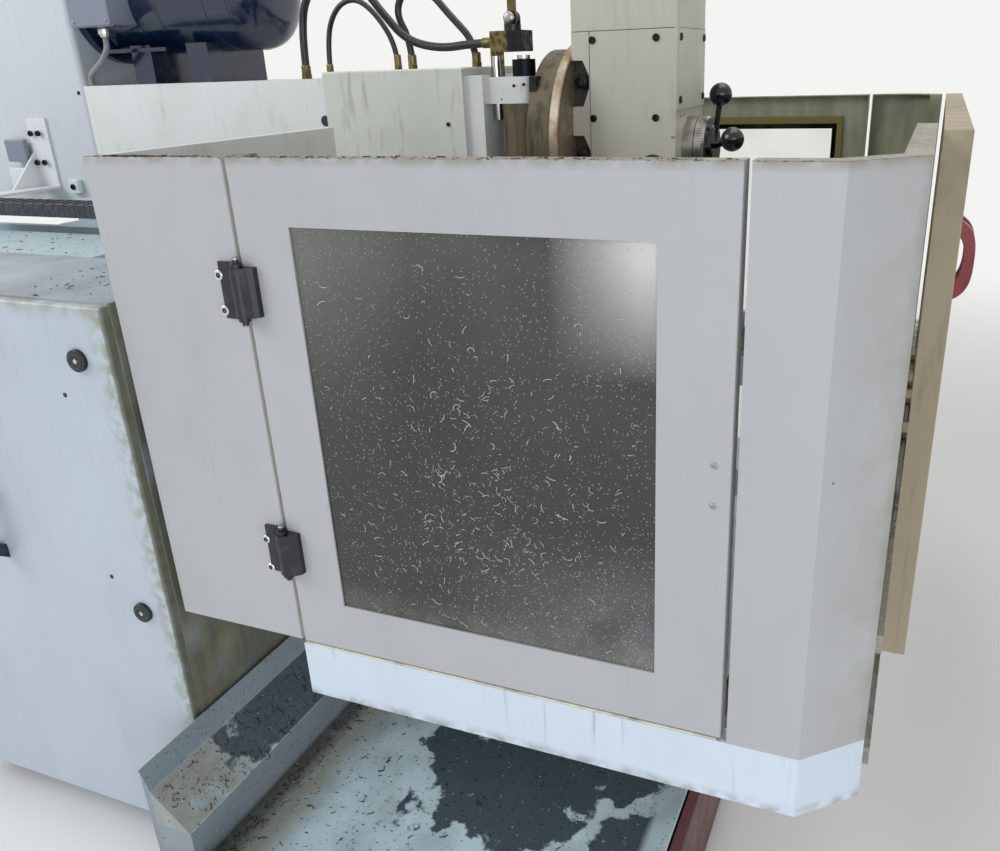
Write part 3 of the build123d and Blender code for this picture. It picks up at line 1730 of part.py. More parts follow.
# Top cover of the head
with BuildPart() as head_top_cover:
    crown_half = head_half - head_crown_inset
    crown_front = head_high_front + head_crown_inset
    with BuildSketch(level(head_top)):
        with BuildLine():
            Polyline(
                (-crown_half, head_back),
                (-crown_half, crown_front + head_chamfer),
                (-crown_half + head_chamfer, crown_front),
                (crown_half - head_chamfer, crown_front),
                (crown_half, crown_front + head_chamfer),
                (crown_half, head_back),
                close=True,
            )
        make_face()
    extrude(amount=head_crown - head_top)
    fillet(faces().sort_by(Axis.Z)[-1].edges(), radius=head_crown_edge)
    crown_height = head_crown - head_top
    round_bar(level(head_top - 1), drawbar_access_radius, crown_height + 2, (0, quill_y), Mode.SUBTRACT)
save(head_top_cover.part, "head_top_cover")

# Swivel clamps: an eccentric bolt with its collar in each pocket of the head, just in front of the ring
with BuildPart() as swivel_clamps:
    pocket_floor = head_half - clamp_pocket_depth
    bolt_length = clamp_pocket_depth - clamp_bolt_inset
    for side in (-1, 1):
        for clamp_z in clamp_levels:
            bolt_x = pocket_floor if side > 0 else -pocket_floor - bolt_length
            round_bar(facing_right(bolt_x), clamp_bolt_radius, bolt_length, (clamp_bolt_y, clamp_z))
            collar_x = pocket_floor if side > 0 else -pocket_floor - clamp_collar_length
            round_bar(
                facing_right(collar_x),
                clamp_collar_radius,
                clamp_collar_length,
                (clamp_bolt_y, clamp_z),
            )
    outer_faces = faces().filter_by(Axis.X)
    chamfer(outer_faces.group_by(Axis.X)[0].edges(), length=clamp_bolt_edge)
    chamfer(faces().filter_by(Axis.X).group_by(Axis.X)[-1].edges(), length=clamp_bolt_edge)
save(swivel_clamps.part, "swivel_clamps")

# Quill sleeve
with BuildPart() as quill_sleeve:
    round_bar(level(quill_bottom), quill_radius, quill_top - quill_bottom, (0, quill_y))
    chamfer(edges().filter_by(GeomType.CIRCLE).group_by(Axis.Z)[0], length=quill_edge)
    round_bar(
        level(quill_bottom - 1),
        milling_spindle_radius + running_fit,
        quill_top - quill_bottom + 2,
        (0, quill_y),
        Mode.SUBTRACT,
    )
save(quill_sleeve.part, "quill_sleeve")

# Vertical milling spindle with its tool taper
with BuildPart() as vertical_spindle:
    round_bar(
        level(quill_bottom - slide_clearance),
        milling_spindle_radius,
        quill_top - quill_bottom,
        (0, quill_y),
    )
    round_bar(
        level(milling_nose_bottom),
        milling_nose_radius,
        quill_bottom - milling_nose_bottom - slide_clearance,
        (0, quill_y),
    )
    with BuildSketch(Plane.YZ):
        with BuildLine():
            taper_end = milling_nose_bottom + milling_taper_depth
            Polyline(
                (quill_y, milling_nose_bottom),
                (quill_y + milling_taper_mouth, milling_nose_bottom),
                (quill_y + milling_taper_mouth - milling_taper_depth * taper_ratio, taper_end),
                (quill_y + drawbar_radius, taper_end),
                (quill_y + drawbar_radius, quill_top),
                (quill_y, quill_top),
                close=True,
            )
        make_face()
    revolve(axis=Axis((0, quill_y, 0), (0, 0, 1)), mode=Mode.SUBTRACT)
save(vertical_spindle.part, "vertical_spindle")

# Feed dial: graduated disc, hub and two levers with ball knobs
with BuildPart() as feed_capstan:
    dial_back = head_low_front - slide_clearance
    round_bar(facing_front(dial_back), dial_radius, dial_back - dial_front, (dial_x, dial_z))
    chamfer(edges().filter_by(GeomType.CIRCLE).group_by(Axis.Y)[0], length=dial_edge)
    round_bar(facing_front(dial_front), dial_hub_radius, dial_front - dial_hub_front, (dial_x, dial_z))
    chamfer(edges().filter_by(GeomType.CIRCLE).group_by(Axis.Y)[0], length=dial_hub_edge)
    round_bar(
        facing_front(head_low_front + dial_shaft_length),
        dial_shaft_radius,
        dial_shaft_length + 1,
        (dial_x, dial_z),
    )
    hub_middle = (dial_x, dial_hub_front + lever_seat, dial_z)
    for ball in (upper_ball, side_ball):
        rod_between(hub_middle, ball, lever_radius)
        with Locations(ball):
            Sphere(ball_radius)
save(feed_capstan.part, "feed_capstan")
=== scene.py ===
"""Finishes a universal milling machine: paint, chips, hoses, screws and the small pieces on its solids.

Sizes are typed in millimetres and turned to metres where a piece is made. +X is the operator's right,
+Y is the back of the machine and +Z is up.
"""
import math
import random

import bpy
from mathutils import Matrix, Vector


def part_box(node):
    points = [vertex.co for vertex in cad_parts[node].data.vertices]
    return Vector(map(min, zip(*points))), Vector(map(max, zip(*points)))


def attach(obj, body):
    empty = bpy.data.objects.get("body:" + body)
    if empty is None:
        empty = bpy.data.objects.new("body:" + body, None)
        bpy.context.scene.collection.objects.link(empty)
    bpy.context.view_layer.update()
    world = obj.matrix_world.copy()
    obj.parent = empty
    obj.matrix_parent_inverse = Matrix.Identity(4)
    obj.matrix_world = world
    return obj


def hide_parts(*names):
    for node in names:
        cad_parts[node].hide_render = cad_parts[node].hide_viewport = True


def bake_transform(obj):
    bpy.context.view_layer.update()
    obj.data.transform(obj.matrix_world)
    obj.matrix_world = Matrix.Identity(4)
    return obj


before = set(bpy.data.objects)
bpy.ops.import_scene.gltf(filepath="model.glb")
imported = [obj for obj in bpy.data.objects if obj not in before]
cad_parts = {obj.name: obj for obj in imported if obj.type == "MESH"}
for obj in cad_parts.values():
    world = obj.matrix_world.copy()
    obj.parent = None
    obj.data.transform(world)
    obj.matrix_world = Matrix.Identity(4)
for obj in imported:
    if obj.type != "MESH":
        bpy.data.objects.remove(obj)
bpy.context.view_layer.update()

bl_info = {
    "name": "Universal Milling Machine",
    "version": (1, 0, 0),
    "blender": (4, 5, 0),
    "location": "3D View > Sidebar > Milling Machine",
    "description": "Finishes the milling machine: paints, wear, chips, hoses, screws and scales",
    "category": "Object",
}

MM = 0.001
LEFT, FRONT, BACK, UP = (-1, 0, 0), (0, -1, 0), (0, 1, 0), (0, 0, 1)

# Levels and planes that several pieces share
CABIN_TOP = 1480
LEDGE_TOP = 1247
TRAY_FLOOR = 211
RAM_SIDE = -160
MOTOR_AXIS = 1778
RING_AXIS = 1430
DIAL_AXIS = 1412
COVER_TOP = 1650
HINGES = (1286, 838)


def linear(code):
    """Turns an sRGB hex value to a linear colour; a colour from the panel is linear already."""
    if not isinstance(code, str):
        return tuple(code)
    parts = [int(code[i:i + 2], 16) / 255 for i in (1, 3, 5)]
    return tuple(p / 12.92 if p <= 0.04045 else ((p + 0.055) / 1.055) ** 2.4 for p in parts)


# Sizes and colours that a user would change

def length(name, description, default):
    """A size in metres, shown with its unit."""
    return bpy.props.FloatProperty(name=name, description=description, default=default, min=0.0,
                                   unit="LENGTH", precision=4)


def number(name, description, default):
    """How many of a piece there are."""
    return bpy.props.IntProperty(name=name, description=description, default=default, min=1)


def colour(name, description, default):
    """A colour, given as its sRGB hex value."""
    return bpy.props.FloatVectorProperty(name=name, description=description, default=linear(default),
                                         size=3, subtype="COLOR", min=0.0, max=1.0)


class MillSizes(bpy.types.PropertyGroup):
    """Sizes and counts of the small pieces."""
    window_chips: number("Window chips", "Chips that cling to the left window", 1300)
    tray_chips: number("Tray chips", "Chips that lie in the chip tray", 3200)
    ledge_chips: number("Ledge chips", "Chips on the cabin's top edges, the cabinet and the console", 760)
    chip_length: length("Chip length", "Length of a common milling chip", 0.009)
    chip_width: length("Chip width", "Width of a milling chip", 0.0013)
    link_pitch: length("Link pitch", "Distance from one energy chain link to the next", 0.034)
    cover_screw: length("Cover screw", "Head diameter of the screws that hold the covers", 0.015)
    seal_width: length("Seal width", "Width of the seal strip in the door's hinge gap", 0.006)


class MillColours(bpy.types.PropertyGroup):
    """Colours of the paints and the other finishes."""
    cabin: colour("Cabin", "Paint of the splash cabin", "#B1B1B0")
    leaf: colour("Front doors", "Paint of the sliding front doors", "#A2957A")
    machine: colour("Machine", "Paint of the ram, the head and the housing", "#DEDFDA")
    casting: colour("Castings", "Enamel of the tray, knee, column and console", "#AEC3CB")
    base: colour("Base", "Enamel of the machine base", "#52191B")
    cabinet: colour("Cabinet", "Paint of the electrical cabinet", "#B6BFC6")
    carrier: colour("Carrier", "Paint of the head carrier under its stains", "#61563A")
    grime: colour("Grime", "Dried coolant and dust", "#6B6040")
    handle: colour("Handles", "Red of the arched grips", "#8E2326")
    motor: colour("Motor", "Paint of the main motor", "#10203A")


def sizes():
    return bpy.context.scene.mill_sizes


def colours():
    return bpy.context.scene.mill_colours


# Materials

DARK, DUST, PALE = "#2A2926", "#8C8471", "#E4E5E2"


def put(tree, kind, links=None, **settings):
    """Adds a shader node with its settings; links maps an input to a value or to another output."""
    node = tree.nodes.new("ShaderNode" + kind)
    for name, value in settings.items():
        setattr(node, name, value)
    for key, value in (links or {}).items():
        if isinstance(value, bpy.types.NodeSocket):
            tree.links.new(value, node.inputs[key])
        elif node.inputs[key].type == "RGBA" and len(value) == 3:
            node.inputs[key].default_value = (*value, 1.0)
        else:
            node.inputs[key].default_value = value
    return node


def combined(tree, operation, masks):
    """Works out one mask from several."""
    result = masks[0]
    for mask in masks[1:]:
        result = put(tree, "Math", {0: result, 1: mask}, operation=operation).outputs[0]
    return result


def seen_white(tree):
    """Where the camera, a reflection or clear plastic looks straight at a surface."""
    rays = put(tree, "LightPath").outputs
    return combined(tree, "MAXIMUM", [rays[f"Is {kind} Ray"] for kind in ("Camera", "Glossy", "Transmission")])


class Coat:
    """A material in the making: stains are laid over its ground colour in turn.

    A mask may be typed short: (axis, clean, marked) is a band, (size, low, high, ...) are patches.
    """

    def __init__(self, name, ground, **shader):
        material = bpy.data.materials.new(name)
        material.use_nodes = True
        self.tree = material.node_tree
        self.tree.nodes.clear()
        values = {key.replace("_", " "): value for key, value in shader.items()}
        self.shader = put(self.tree, "BsdfPrincipled", values)
        self.output = put(self.tree, "OutputMaterial", {"Surface": self.shader.outputs[0]})
        self.place = put(self.tree, "TexCoord").outputs["Object"]
        self.colour = linear(ground)

    def patches(self, size, low, high, shift=0.0, stretch=(1, 1, 1), detail=5.0):
        """Soft marks about size across: 0 where clean and 1 where marked."""
        where = put(self.tree, "Mapping", {"Vector": self.place, "Scale": stretch,
                                           "Location": (shift, shift * 1.7, shift * 2.3)})
        cloud = put(self.tree, "TexNoise", {"Vector": where.outputs[0], "Scale": 1 / (size * MM),
                                            "Detail": detail})
        return put(self.tree, "MapRange", {"Value": cloud.outputs[0], "From Min": low,
                                           "From Max": high}).outputs[0]

    def specks(self, pitch, size, share, stretch=(1, 1, 1)):
        """Small round marks on a share of the cells of a loose grid."""
        where = put(self.tree, "Mapping", {"Vector": self.place, "Scale": stretch})
        cells = put(self.tree, "TexVoronoi", {"Vector": where.outputs[0], "Scale": 1 / (pitch * MM)})
        dot = put(self.tree, "MapRange", {"Value": cells.outputs["Distance"], "From Min": size / pitch,
                                          "From Max": size / pitch * 0.6})
        pick = put(self.tree, "SeparateColor", {"Color": cells.outputs["Color"]})
        chosen = put(self.tree, "Math", {0: pick.outputs[0], 1: share}, operation="LESS_THAN")
        return self.only(dot.outputs[0], chosen.outputs[0])

    def band(self, axis, clean, marked):
        """A mark that grows along an axis from the place clean to the place marked."""
        part = put(self.tree, "SeparateXYZ", {"Vector": self.place}).outputs["XYZ".index(axis)]
        return put(self.tree, "MapRange", {"Value": part, "From Min": clean * MM,
                                           "From Max": marked * MM}).outputs[0]

    def pool(self, centre, reach):
        """A mark with a ragged edge round a centre."""
        ragged = put(self.tree, "TexNoise", {"Vector": self.place, "Scale": 16.0, "Detail": 6.0}).outputs[0]
        away = put(self.tree, "VectorMath", {0: self.place, 1: [c * MM for c in centre]},
                   operation="DISTANCE").outputs["Value"]
        edge = put(self.tree, "Math", {0: ragged, 1: reach * MM * 2.2, 2: away}, operation="MULTIPLY_ADD")
        return put(self.tree, "MapRange", {"Value": edge.outputs[0], "From Min": reach * MM * 2.16,
                                           "From Max": reach * MM * 2.04}).outputs[0]

    def mask(self, item):
        """Makes a mask that is typed short; any other is one already."""
        if not isinstance(item, tuple):
            return item
        return self.band(*item) if isinstance(item[0], str) else self.patches(*item)

    def only(self, *masks):
        """A mark that shows only where all the given marks do."""
        return combined(self.tree, "MULTIPLY", [self.mask(item) for item in masks])

    def either(self, *masks):
        """A mark that shows where any of the given marks does."""
        return combined(self.tree, "MAXIMUM", [self.mask(item) for item in masks])

    def stain(self, strength, tone, *masks):
        """Lays a colour, at a part of its strength, where all the given marks show."""
        shows = self.only(*masks, strength) if strength < 1 else self.only(*masks)
        mixed = put(self.tree, "Mix", {0: shows, 6: self.colour, 7: linear(tone)}, data_type="RGBA")
        self.colour = mixed.outputs[2]
        self.tree.links.new(self.colour, self.shader.inputs["Base Color"])

    def surface(self, mask, smooth, rough, relief=None, depth=0.0):
        """Gives a roughness that a mask moves between two values, and a relief of a depth."""
        moved = put(self.tree, "MapRange", {"Value": mask, "To Min": smooth, "To Max": rough})
        self.tree.links.new(moved.outputs[0], self.shader.inputs["Roughness"])
        if relief is not None:
            bump = put(self.tree, "Bump", {"Height": self.mask(relief), "Distance": depth * MM,
                                           "Strength": 1.0})
            self.tree.links.new(bump.outputs[0], self.shader.inputs["Normal"])


def sheet_paint(name, ground, dirt=1.0, gloss=0.42):
    """Powder-coated sheet steel: an even satin coat with orange peel, handling smudges and dark nicks."""
    coat = Coat(name, ground, IOR=1.5)
    smudge = coat.patches(350, 0.42, 0.72, 3.1)
    coat.stain(0.3, [c * 0.84 for c in coat.colour], smudge)
    coat.stain(0.1, colours().grime, (110, 0.5, 0.78, 8.0, (1, 1, 0.35)))
    coat.stain(0.55, DUST, coat.specks(17, 0.9, 0.14))
    coat.stain(0.8, DARK, coat.specks(45, 2.2, 0.16))
    coat.surface(smudge, gloss, gloss + 0.16 * dirt, coat.patches(2.2, 0.2, 0.8, detail=1.0), 0.06)
    return coat


def cabin_paint(name):
    """The cabin's coat: brown dust and dark crumbs along the top flange, and vertical runs."""
    coat = sheet_paint(name, colours().cabin)
    coat.stain(0.7, "#7D7461", ("Z", 1466, 1480), (30, 0.3, 0.58))
    coat.stain(0.75, "#6B6352", ("Z", 1478.6, 1479.8), (20, 0.2, 0.55))
    coat.stain(0.95, DARK, ("Z", 1478, 1479.6), coat.specks(8, 3.4, 0.7))
    coat.stain(0.42, "#857E70", (35, 0.62, 0.75, 2.2, (1, 1, 0.05)), (400, 0.45, 0.7))
    return coat


def machine_enamel(name, ground, dirt):
    """Sprayed enamel on a filled casting: faint orange peel, oily specks and soft brown clouds."""
    coat = Coat(name, ground, IOR=1.5)
    cloud = coat.patches(160, 0.45, 0.75, 1.0)
    coat.stain(0.3 * dirt + 0.12, "#B4B1A4", cloud)
    coat.stain(0.55 * dirt, "#8B846C", (20, 0.58, 0.76, 6.0, (1, 1, 0.18)))
    coat.stain(0.7, "#6E6A60", coat.specks(16, 1.3, 0.3))
    coat.stain(0.75, DARK, coat.specks(50, 3.4, 0.2))
    coat.surface(cloud, 0.38, 0.55, coat.patches(3, 0.2, 0.8, detail=1.0), 0.1)
    return coat


def stained(name, ground, strength, tone, cloud, smooth, rough, grain, depth, **shader):
    """A material with one soft stain that also dulls it, and a fine relief."""
    coat = Coat(name, ground, **shader)
    old = coat.patches(*cloud)
    coat.stain(strength, tone, old)
    coat.surface(old, smooth, rough, (grain, 0.2, 0.8), depth)
    return coat


FINISHES = {
    "black_die_casting": "upper_lock lower_lock hinge_leaves left_hinge_knuckles right_hinge_knuckles"
                         " swivel_clamps",
    "black_rubber": "coolant_hoses",
    "cabin_sheet_steel": "cabin_frame left_rear_panel left_door",
    "cabinet_door_steel": "cabinet_door",
    "cabinet_shell_steel": "cabinet_body",
    "capstan_steel": "feed_capstan",
    "carrier_enamel": "carrier_casting",
    "casting_enamel": "column_casting chain_console knee_casting",
    "clear_polycarbonate": "right_window",
    "corner_sheet_steel": "left_front_corner",
    "front_cover_enamel": "ram_front_cover",
    "front_sheet_steel": "front_apron front_left_door front_right_door",
    "grey_box_enamel": "terminal_box",
    "grey_cable_sheath": "motor_cable",
    "ground_cast_iron": "work_table",
    "head_enamel": "head_casting head_side_covers head_top_cover",
    "hinge_pin_steel": "hinge_pin",
    "housing_enamel": "rear_housing",
    "machine_enamel": "rear_walls ram_casting ram_cover",
    "motor_enamel": "main_motor motor_mounts",
    "moulded_polyamide": "energy_chain cabinet_handle",
    "oily_brass": "coolant_block",
    "red_base_enamel": "base_casting",
    "red_moulded_nylon": "front_left_handle front_right_handle",
    "rusty_ring_steel": "swivel_ring",
    "skirt_sheet_steel": "cabin_skirt",
    "smoky_polycarbonate": "left_window front_left_window front_right_window",
    "tarnished_bronze": "coolant_arm_lower coolant_arm_upper",
    "tray_enamel": "chip_tray",
    "turned_steel": "levelling_feet door_rails horizontal_spindle quill_sleeve vertical_spindle",
    "weathered_sheet_steel": "right_rear_panel right_front_corner right_door",
    "white_bracket_enamel": "chain_bracket",
    "zinc_plated_steel": "switchgear",
}


class MILL_OT_finishes(bpy.types.Operator):
    """Gives every CAD piece of the machine the finish that its real piece has."""
    bl_idname = "mill.finishes"
    bl_label = "Finishes"

    def execute(self, context):
        paint = colours()
        self.cabin(paint)
        self.cabinet(paint)
        self.machine(paint)
        self.castings(paint)
        self.tray(paint)
        self.windows()
        self.mouldings(paint)
        self.metals()
        finish = {node: name for name, nodes in FINISHES.items() for node in nodes.split()}
        for node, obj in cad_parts.items():
            material = bpy.data.materials[finish[node]]
            if not obj.material_slots:
                obj.data.materials.append(material)
            for slot in obj.material_slots:
                slot.material = material
        return {"FINISHED"}

    def cabin(self, paint):
        # Light grey powder-coated sheet steel, smudged by hands and coolant
        cabin_paint("cabin_sheet_steel")
        # The same coat with tan dust on the slant and the return of the near front corner
        coat = cabin_paint("corner_sheet_steel")
        coat.stain(0.55, "#A09A86", ("Y", -1120, -1205), (60, 0.3, 0.66))
        coat.stain(0.4, "#7B7464", ("Y", -1198, -1209), (50, 0.3, 0.6, 4.0))
        # Front doors: a coat that coolant has run over, with tan grime near the top and in the runs
        coat = sheet_paint("front_sheet_steel", paint.leaf, gloss=0.5)
        coat.stain(0.6, "#75664A", ("Z", 1250, 1475), (50, 0.4, 0.7))
        coat.stain(0.5, "#6A5F49", (25, 0.55, 0.7, 5.0, (1, 1, 0.12)))
        # Far walls: stained greenish grey by coolant mist on the inside, the cabin's own coat outside
        coat = sheet_paint("weathered_sheet_steel", "#9A9D83", gloss=0.5)
        coat.stain(0.55, "#6F6F57", (50, 0.4, 0.62, 0.0, (1, 1, 0.25)))
        slant_way, inner_face, outer_face = (0.7455, -0.6665, 0.0), 1457.2, 1457.7
        slant = put(coat.tree, "VectorMath", {0: coat.place, 1: slant_way},
                    operation="DOT_PRODUCT").outputs["Value"]
        outer = put(coat.tree, "MapRange", {"Value": slant, "From Min": inner_face * MM,
                                            "From Max": outer_face * MM}).outputs[0]
        coat.stain(0.9, paint.cabin, coat.either(outer, ("X", 949.2, 949.7), ("Y", -1209.2, -1209.7)))
        # Skirt: the cabin's sheet steel, given a lighter, bluer ground than the cabin coat as painted light of
        # the sky from below, with thin vertical dirt runs from the sealant line down
        coat = sheet_paint("skirt_sheet_steel", "#CED8E1")
        coat.stain(0.5, "#6E6A5E", (20, 0.64, 0.72, 7.0, (1, 1, 0.04)), ("Z", 541, 640))
        coat.stain(0.5, "#6C6858", ("Z", 560, 545), (30, 0.4, 0.62))

    def cabinet(self, paint):
        # Cabinet door: green-yellow grime along its top and hinge edge, and drips
        coat = sheet_paint("cabinet_door_steel", paint.cabinet, 0.8, 0.36)
        coat.stain(0.75, "#7F7F5B", ("Y", 78, 32), (22, 0.4, 0.6))
        coat.stain(0.85, "#5C5E49", ("Y", 37, 32))
        coat.stain(0.65, "#85835F", ("Z", 1215, 1240), (30, 0.35, 0.6))
        coat.stain(0.5, "#8F8E70", ("Z", 850, 1230), (12, 0.6, 0.72, 3.0, (1, 1, 0.06)))
        # Cabinet shell: greyer top, its front side painted dark olive grey as painted shade, and olive runs of
        # old coolant on that side
        coat = sheet_paint("cabinet_shell_steel", paint.cabinet, gloss=0.34)
        coat.stain(0.85, "#77818A", ("Z", 1240, 1246), (120, 0.1, 0.6))
        # Painted shade: the shell's front side is darkened almost all over to a dark olive grey
        coat.stain(0.92, "#585A4B", ("Y", 34, 28), (120, 0.0, 0.5))
        coat.stain(0.5, "#857C55", ("Y", 34, 28), (10, 0.42, 0.62, 5.0, (1, 1, 0.08)))
        # Terminal box: a darker grey sheet enamel
        sheet_paint("grey_box_enamel", "#7C8390", 0.6, 0.35)

    def machine(self, paint):
        # Off-white machine enamel over filler, with the dark specks of oily dust
        for name, ground, dirt in (
                ("machine_enamel", paint.machine, 0.5), ("front_cover_enamel", "#D0D2C6", 1.0),
                ("housing_enamel", "#C6CACE", 0.2), ("white_bracket_enamel", "#DADCDD", 0.25)):
            machine_enamel(name, ground, dirt)
        # The head's enamel is yellower, and near-black in the clamp pockets at the rear of its sides
        coat = machine_enamel("head_enamel", "#C6C3B2", 0.5)
        across = put(coat.tree, "SeparateXYZ", {"Vector": coat.place}).outputs[0]
        depth = put(coat.tree, "Math", {0: across}, operation="ABSOLUTE").outputs[0]
        cover_face, pocket_floor = 113.6, 112.5
        inside = put(coat.tree, "MapRange", {"Value": depth, "From Min": cover_face * MM,
                                             "From Max": pocket_floor * MM}).outputs[0]
        level = coat.either(coat.only(("Z", 1496, 1499), ("Z", 1600, 1596)),
                            coat.only(("Z", 1350, 1353), ("Z", 1448, 1445)))
        coat.stain(0.94, "#15130F", ("Y", -519, -517), inside, level)

    def castings(self, paint):
        # Blue-green enamel brushed on rough iron: lumpy, clouded and streaked with coolant
        coat = Coat("casting_enamel", paint.casting, IOR=1.5)
        cloud = coat.patches(200, 0.4, 0.72)
        coat.stain(0.45, "#8C989A", cloud)
        coat.stain(0.4, paint.grime, (50, 0.55, 0.74, 2.0, (1, 1, 0.2)))
        coat.stain(0.8, DARK, coat.specks(14, 1.7, 0.3))
        coat.surface(cloud, 0.32, 0.55, coat.patches(12, 0.2, 0.8, detail=2.0), 0.4)
        # Base: dull red enamel, darkened by oil
        coat = stained("red_base_enamel", paint.base, 0.6, "#3D2224", (140, 0.4, 0.7), 0.36, 0.6, 10, 0.4,
                       IOR=1.5)
        coat.stain(0.8, DARK, coat.specks(12, 1.7, 0.35))
        # Carrier: enamel under years of coolant, with beige and brown runs and dark specks
        coat = stained("carrier_enamel", paint.carrier, 0.72, "#4E462F", (70, 0.36, 0.62, 4.0), 0.4, 0.7,
                       8, 0.5, IOR=1.5)
        coat.stain(0.8, "#2C281B", (14, 0.5, 0.62, 0.0, (1, 1, 0.16)))
        coat.stain(0.85, DARK, coat.specks(9, 1.4, 0.4))

    def tray(self, paint):
        # Enamelled tray sheet with glossy dark puddles, ochre tide marks, fine chips in the oil, and painted
        # shade on the step's face
        coat = Coat("tray_enamel", paint.casting, IOR=1.5)
        floor = coat.band("Z", 226, 214)
        puddle = coat.either(*(coat.only(coat.pool((x, y, TRAY_FLOOR), reach), floor) for x, y, reach in (
            (-725, -545, 175), (-655, -385, 70), (-800, -820, 80), (-560, -760, 130), (300, -500, 160),
            (820, -640, 120))))
        shelf = coat.only(("Y", -78, -75), ("Y", 1, -2), ("Z", 294, 300))
        behind = coat.either(*(coat.only(coat.pool((x, -8, 352), reach), shelf) for x, reach in (
            (-800, 150), (-640, 120), (-200, 120), (250, 120), (700, 120))))
        film, lip = (90, 0.42, 0.66, 3.3), ("Y", -1, 1)
        # Painted shade: the step's face is painted a darker, greyer tone than the tray floor
        step = ("Y", -86, -82), ("Z", 214, 222), ("Z", 299, 296)
        foot = ("Y", -130, -100), (50, 0.1, 0.4, 6.0)
        for strength, tone, *masks in (
                (0.45, "#76868C", film), (0.85, "#7A8489", lip), (0.85, "#7F878A", *step),
                (0.7, "#7C7864", floor, ("Y", -215, -150), (60, 0.0, 0.4)),
                (0.75, "#8D8675", shelf, ("X", -900, -1000), (40, 0.1, 0.5)),
                (0.82, "#34383A", floor, *foot), (0.96, "#35414A", puddle), (0.88, "#353D46", behind),
                (0.7, DARK, coat.specks(6.5, 1.3, 0.4)), (0.9, DARK, coat.specks(9, 2.1, 0.4, (1, 0.6, 1))),
                (0.7, PALE, coat.specks(13, 1.5, 0.3))):
            coat.stain(strength, tone, *masks)
        coat.surface(coat.either(puddle, behind), 0.42, 0.1, coat.patches(6, 0.3, 0.7, detail=2.0), 0.25)

    def windows(self):
        # Polycarbonate painted dark grey as painted shade of the cabin's dark inside seen through it, hazed by
        # coolant: streaks, pale dried patches and a fine spray
        coat = Coat("smoky_polycarbonate", "#333330", IOR=1.58, Transmission_Weight=0.35)
        haze = coat.only(("Z", 980, 1360), (300, 0.3, 0.62, 0.8))
        corner = coat.only(("Z", 1195, 1360), ("Y", -760, -885), (50, 0.1, 0.34))
        low = coat.only(("Z", 960, 770), ("Y", -560, -860), (100, 0.2, 0.55, 9.0))
        for strength, tone, *masks in (
                (0.5, "#6E6D67", haze),
                (0.55, "#8A8C84", ("Y", -560, -380), ("Z", 1080, 1340), (160, 0.15, 0.5, 2.0)),
                (0.4, "#2B2C2B", (120, 0.45, 0.72, 5.5, (1, 0.45, 0.25))), (0.6, "#8E908E", low),
                (0.95, "#EDEDE4", corner), (0.4, "#8F8C80", ("Z", 800, 752), (50, 0.3, 0.6, 4.0)),
                (0.75, "#B9B7AB", coat.specks(6, 1.3, 0.45)),
                (0.8, "#DEDCD2", coat.only(coat.specks(4.8, 1.2, 0.8), coat.either(corner, low)))):
            coat.stain(strength, tone, *masks)
        coat.surface(haze, 0.08, 0.34)
        # The far window's clear pane, with only a thin haze on it
        coat = Coat("clear_polycarbonate", "#F4F5F3", IOR=1.58, Transmission_Weight=1.0)
        haze = coat.patches(150, 0.4, 0.75, 1.8)
        coat.stain(0.5, "#D9DAD2", haze)
        coat.surface(haze, 0.04, 0.2)

    def mouldings(self, paint):
        # Motor: glossy dark blue enamel with a dusty bloom and pale dust
        coat = stained("motor_enamel", paint.motor, 0.22, "#2C3850", (30, 0.5, 0.75), 0.14, 0.36, 4, 0.06,
                       IOR=1.5, Coat_Weight=0.4, Coat_Roughness=0.15)
        coat.stain(0.5, "#6F7686", coat.specks(7, 0.8, 0.3))
        # Hinges and clamps: black powder coat on die-cast zinc, rubbed grey on its high spots
        coat = stained("black_die_casting", "#17191D", 0.45, "#4B4D4F", (18, 0.52, 0.75), 0.38, 0.6, 1.6,
                       0.05, IOR=1.5)
        coat.stain(0.6, "#7B776C", coat.specks(8, 0.9, 0.3))
        # Moulded polyamide: black, finely sparked, dusty in its corners
        stained("moulded_polyamide", "#1E2229", 0.4, "#555C66", (12, 0.45, 0.7), 0.4, 0.65, 1.2, 0.04,
                IOR=1.53)
        # Red moulded nylon grip, dulled by gloves
        stained("red_moulded_nylon", paint.handle, 0.45, "#5A1C1D", (40, 0.4, 0.7), 0.32, 0.5, 1.2, 0.04,
                IOR=1.53)
        # Hoses: black rubber with an oily sheen
        stained("black_rubber", "#0C0D12", 0.5, "#1C1F2A", (20, 0.4, 0.7), 0.28, 0.55, 2, 0.05, IOR=1.52)
        # Cable: grey sheath, dusty
        stained("grey_cable_sheath", "#8E9093", 0.4, "#66614F", (20, 0.4, 0.7), 0.45, 0.65, 2, 0.03,
                IOR=1.52)
        # Sealants and seal strip: silicone that has caught dust
        for name, ground in (("cream_rubber_seal", "#C9C1A0"), ("ivory_sealant", "#D9D4BC"),
                             ("olive_sealant", "#746A35")):
            stained(name, ground, 0.6, "#6F6748", (30, 0.45, 0.7), 0.4, 0.6, 6, 0.3, IOR=1.43)

    def metals(self):
        # Steels, brass, bronze and chips: a fine turned grain and a little oil stain
        for name, ground, oil, smooth in (
                ("turned_steel", "#A9A9A6", "#6C675B", 0.22), ("zinc_plated_steel", "#A9ABA6", "#7F7F76", 0.4),
                ("washer_steel", "#D6D6D2", "#908B7E", 0.3), ("black_oxide_steel", "#24242A", "#4A463D", 0.32),
                ("machined_brass", "#766A48", "#332D20", 0.36), ("steel_chips", "#C9C8C2", "#8A867A", 0.24),
                ("tarnished_bronze", "#6A5A3E", "#3A3224", 0.36), ("dark_chips", "#55534C", "#2B2A27", 0.4),
                ("window_chip_steel", "#DAD7C9", "#A59F8B", 0.42)):
            stained(name, ground, 0.6, oil, (20, 0.42, 0.7), smooth, smooth + 0.25, 2, 0.04, Metallic=1.0)
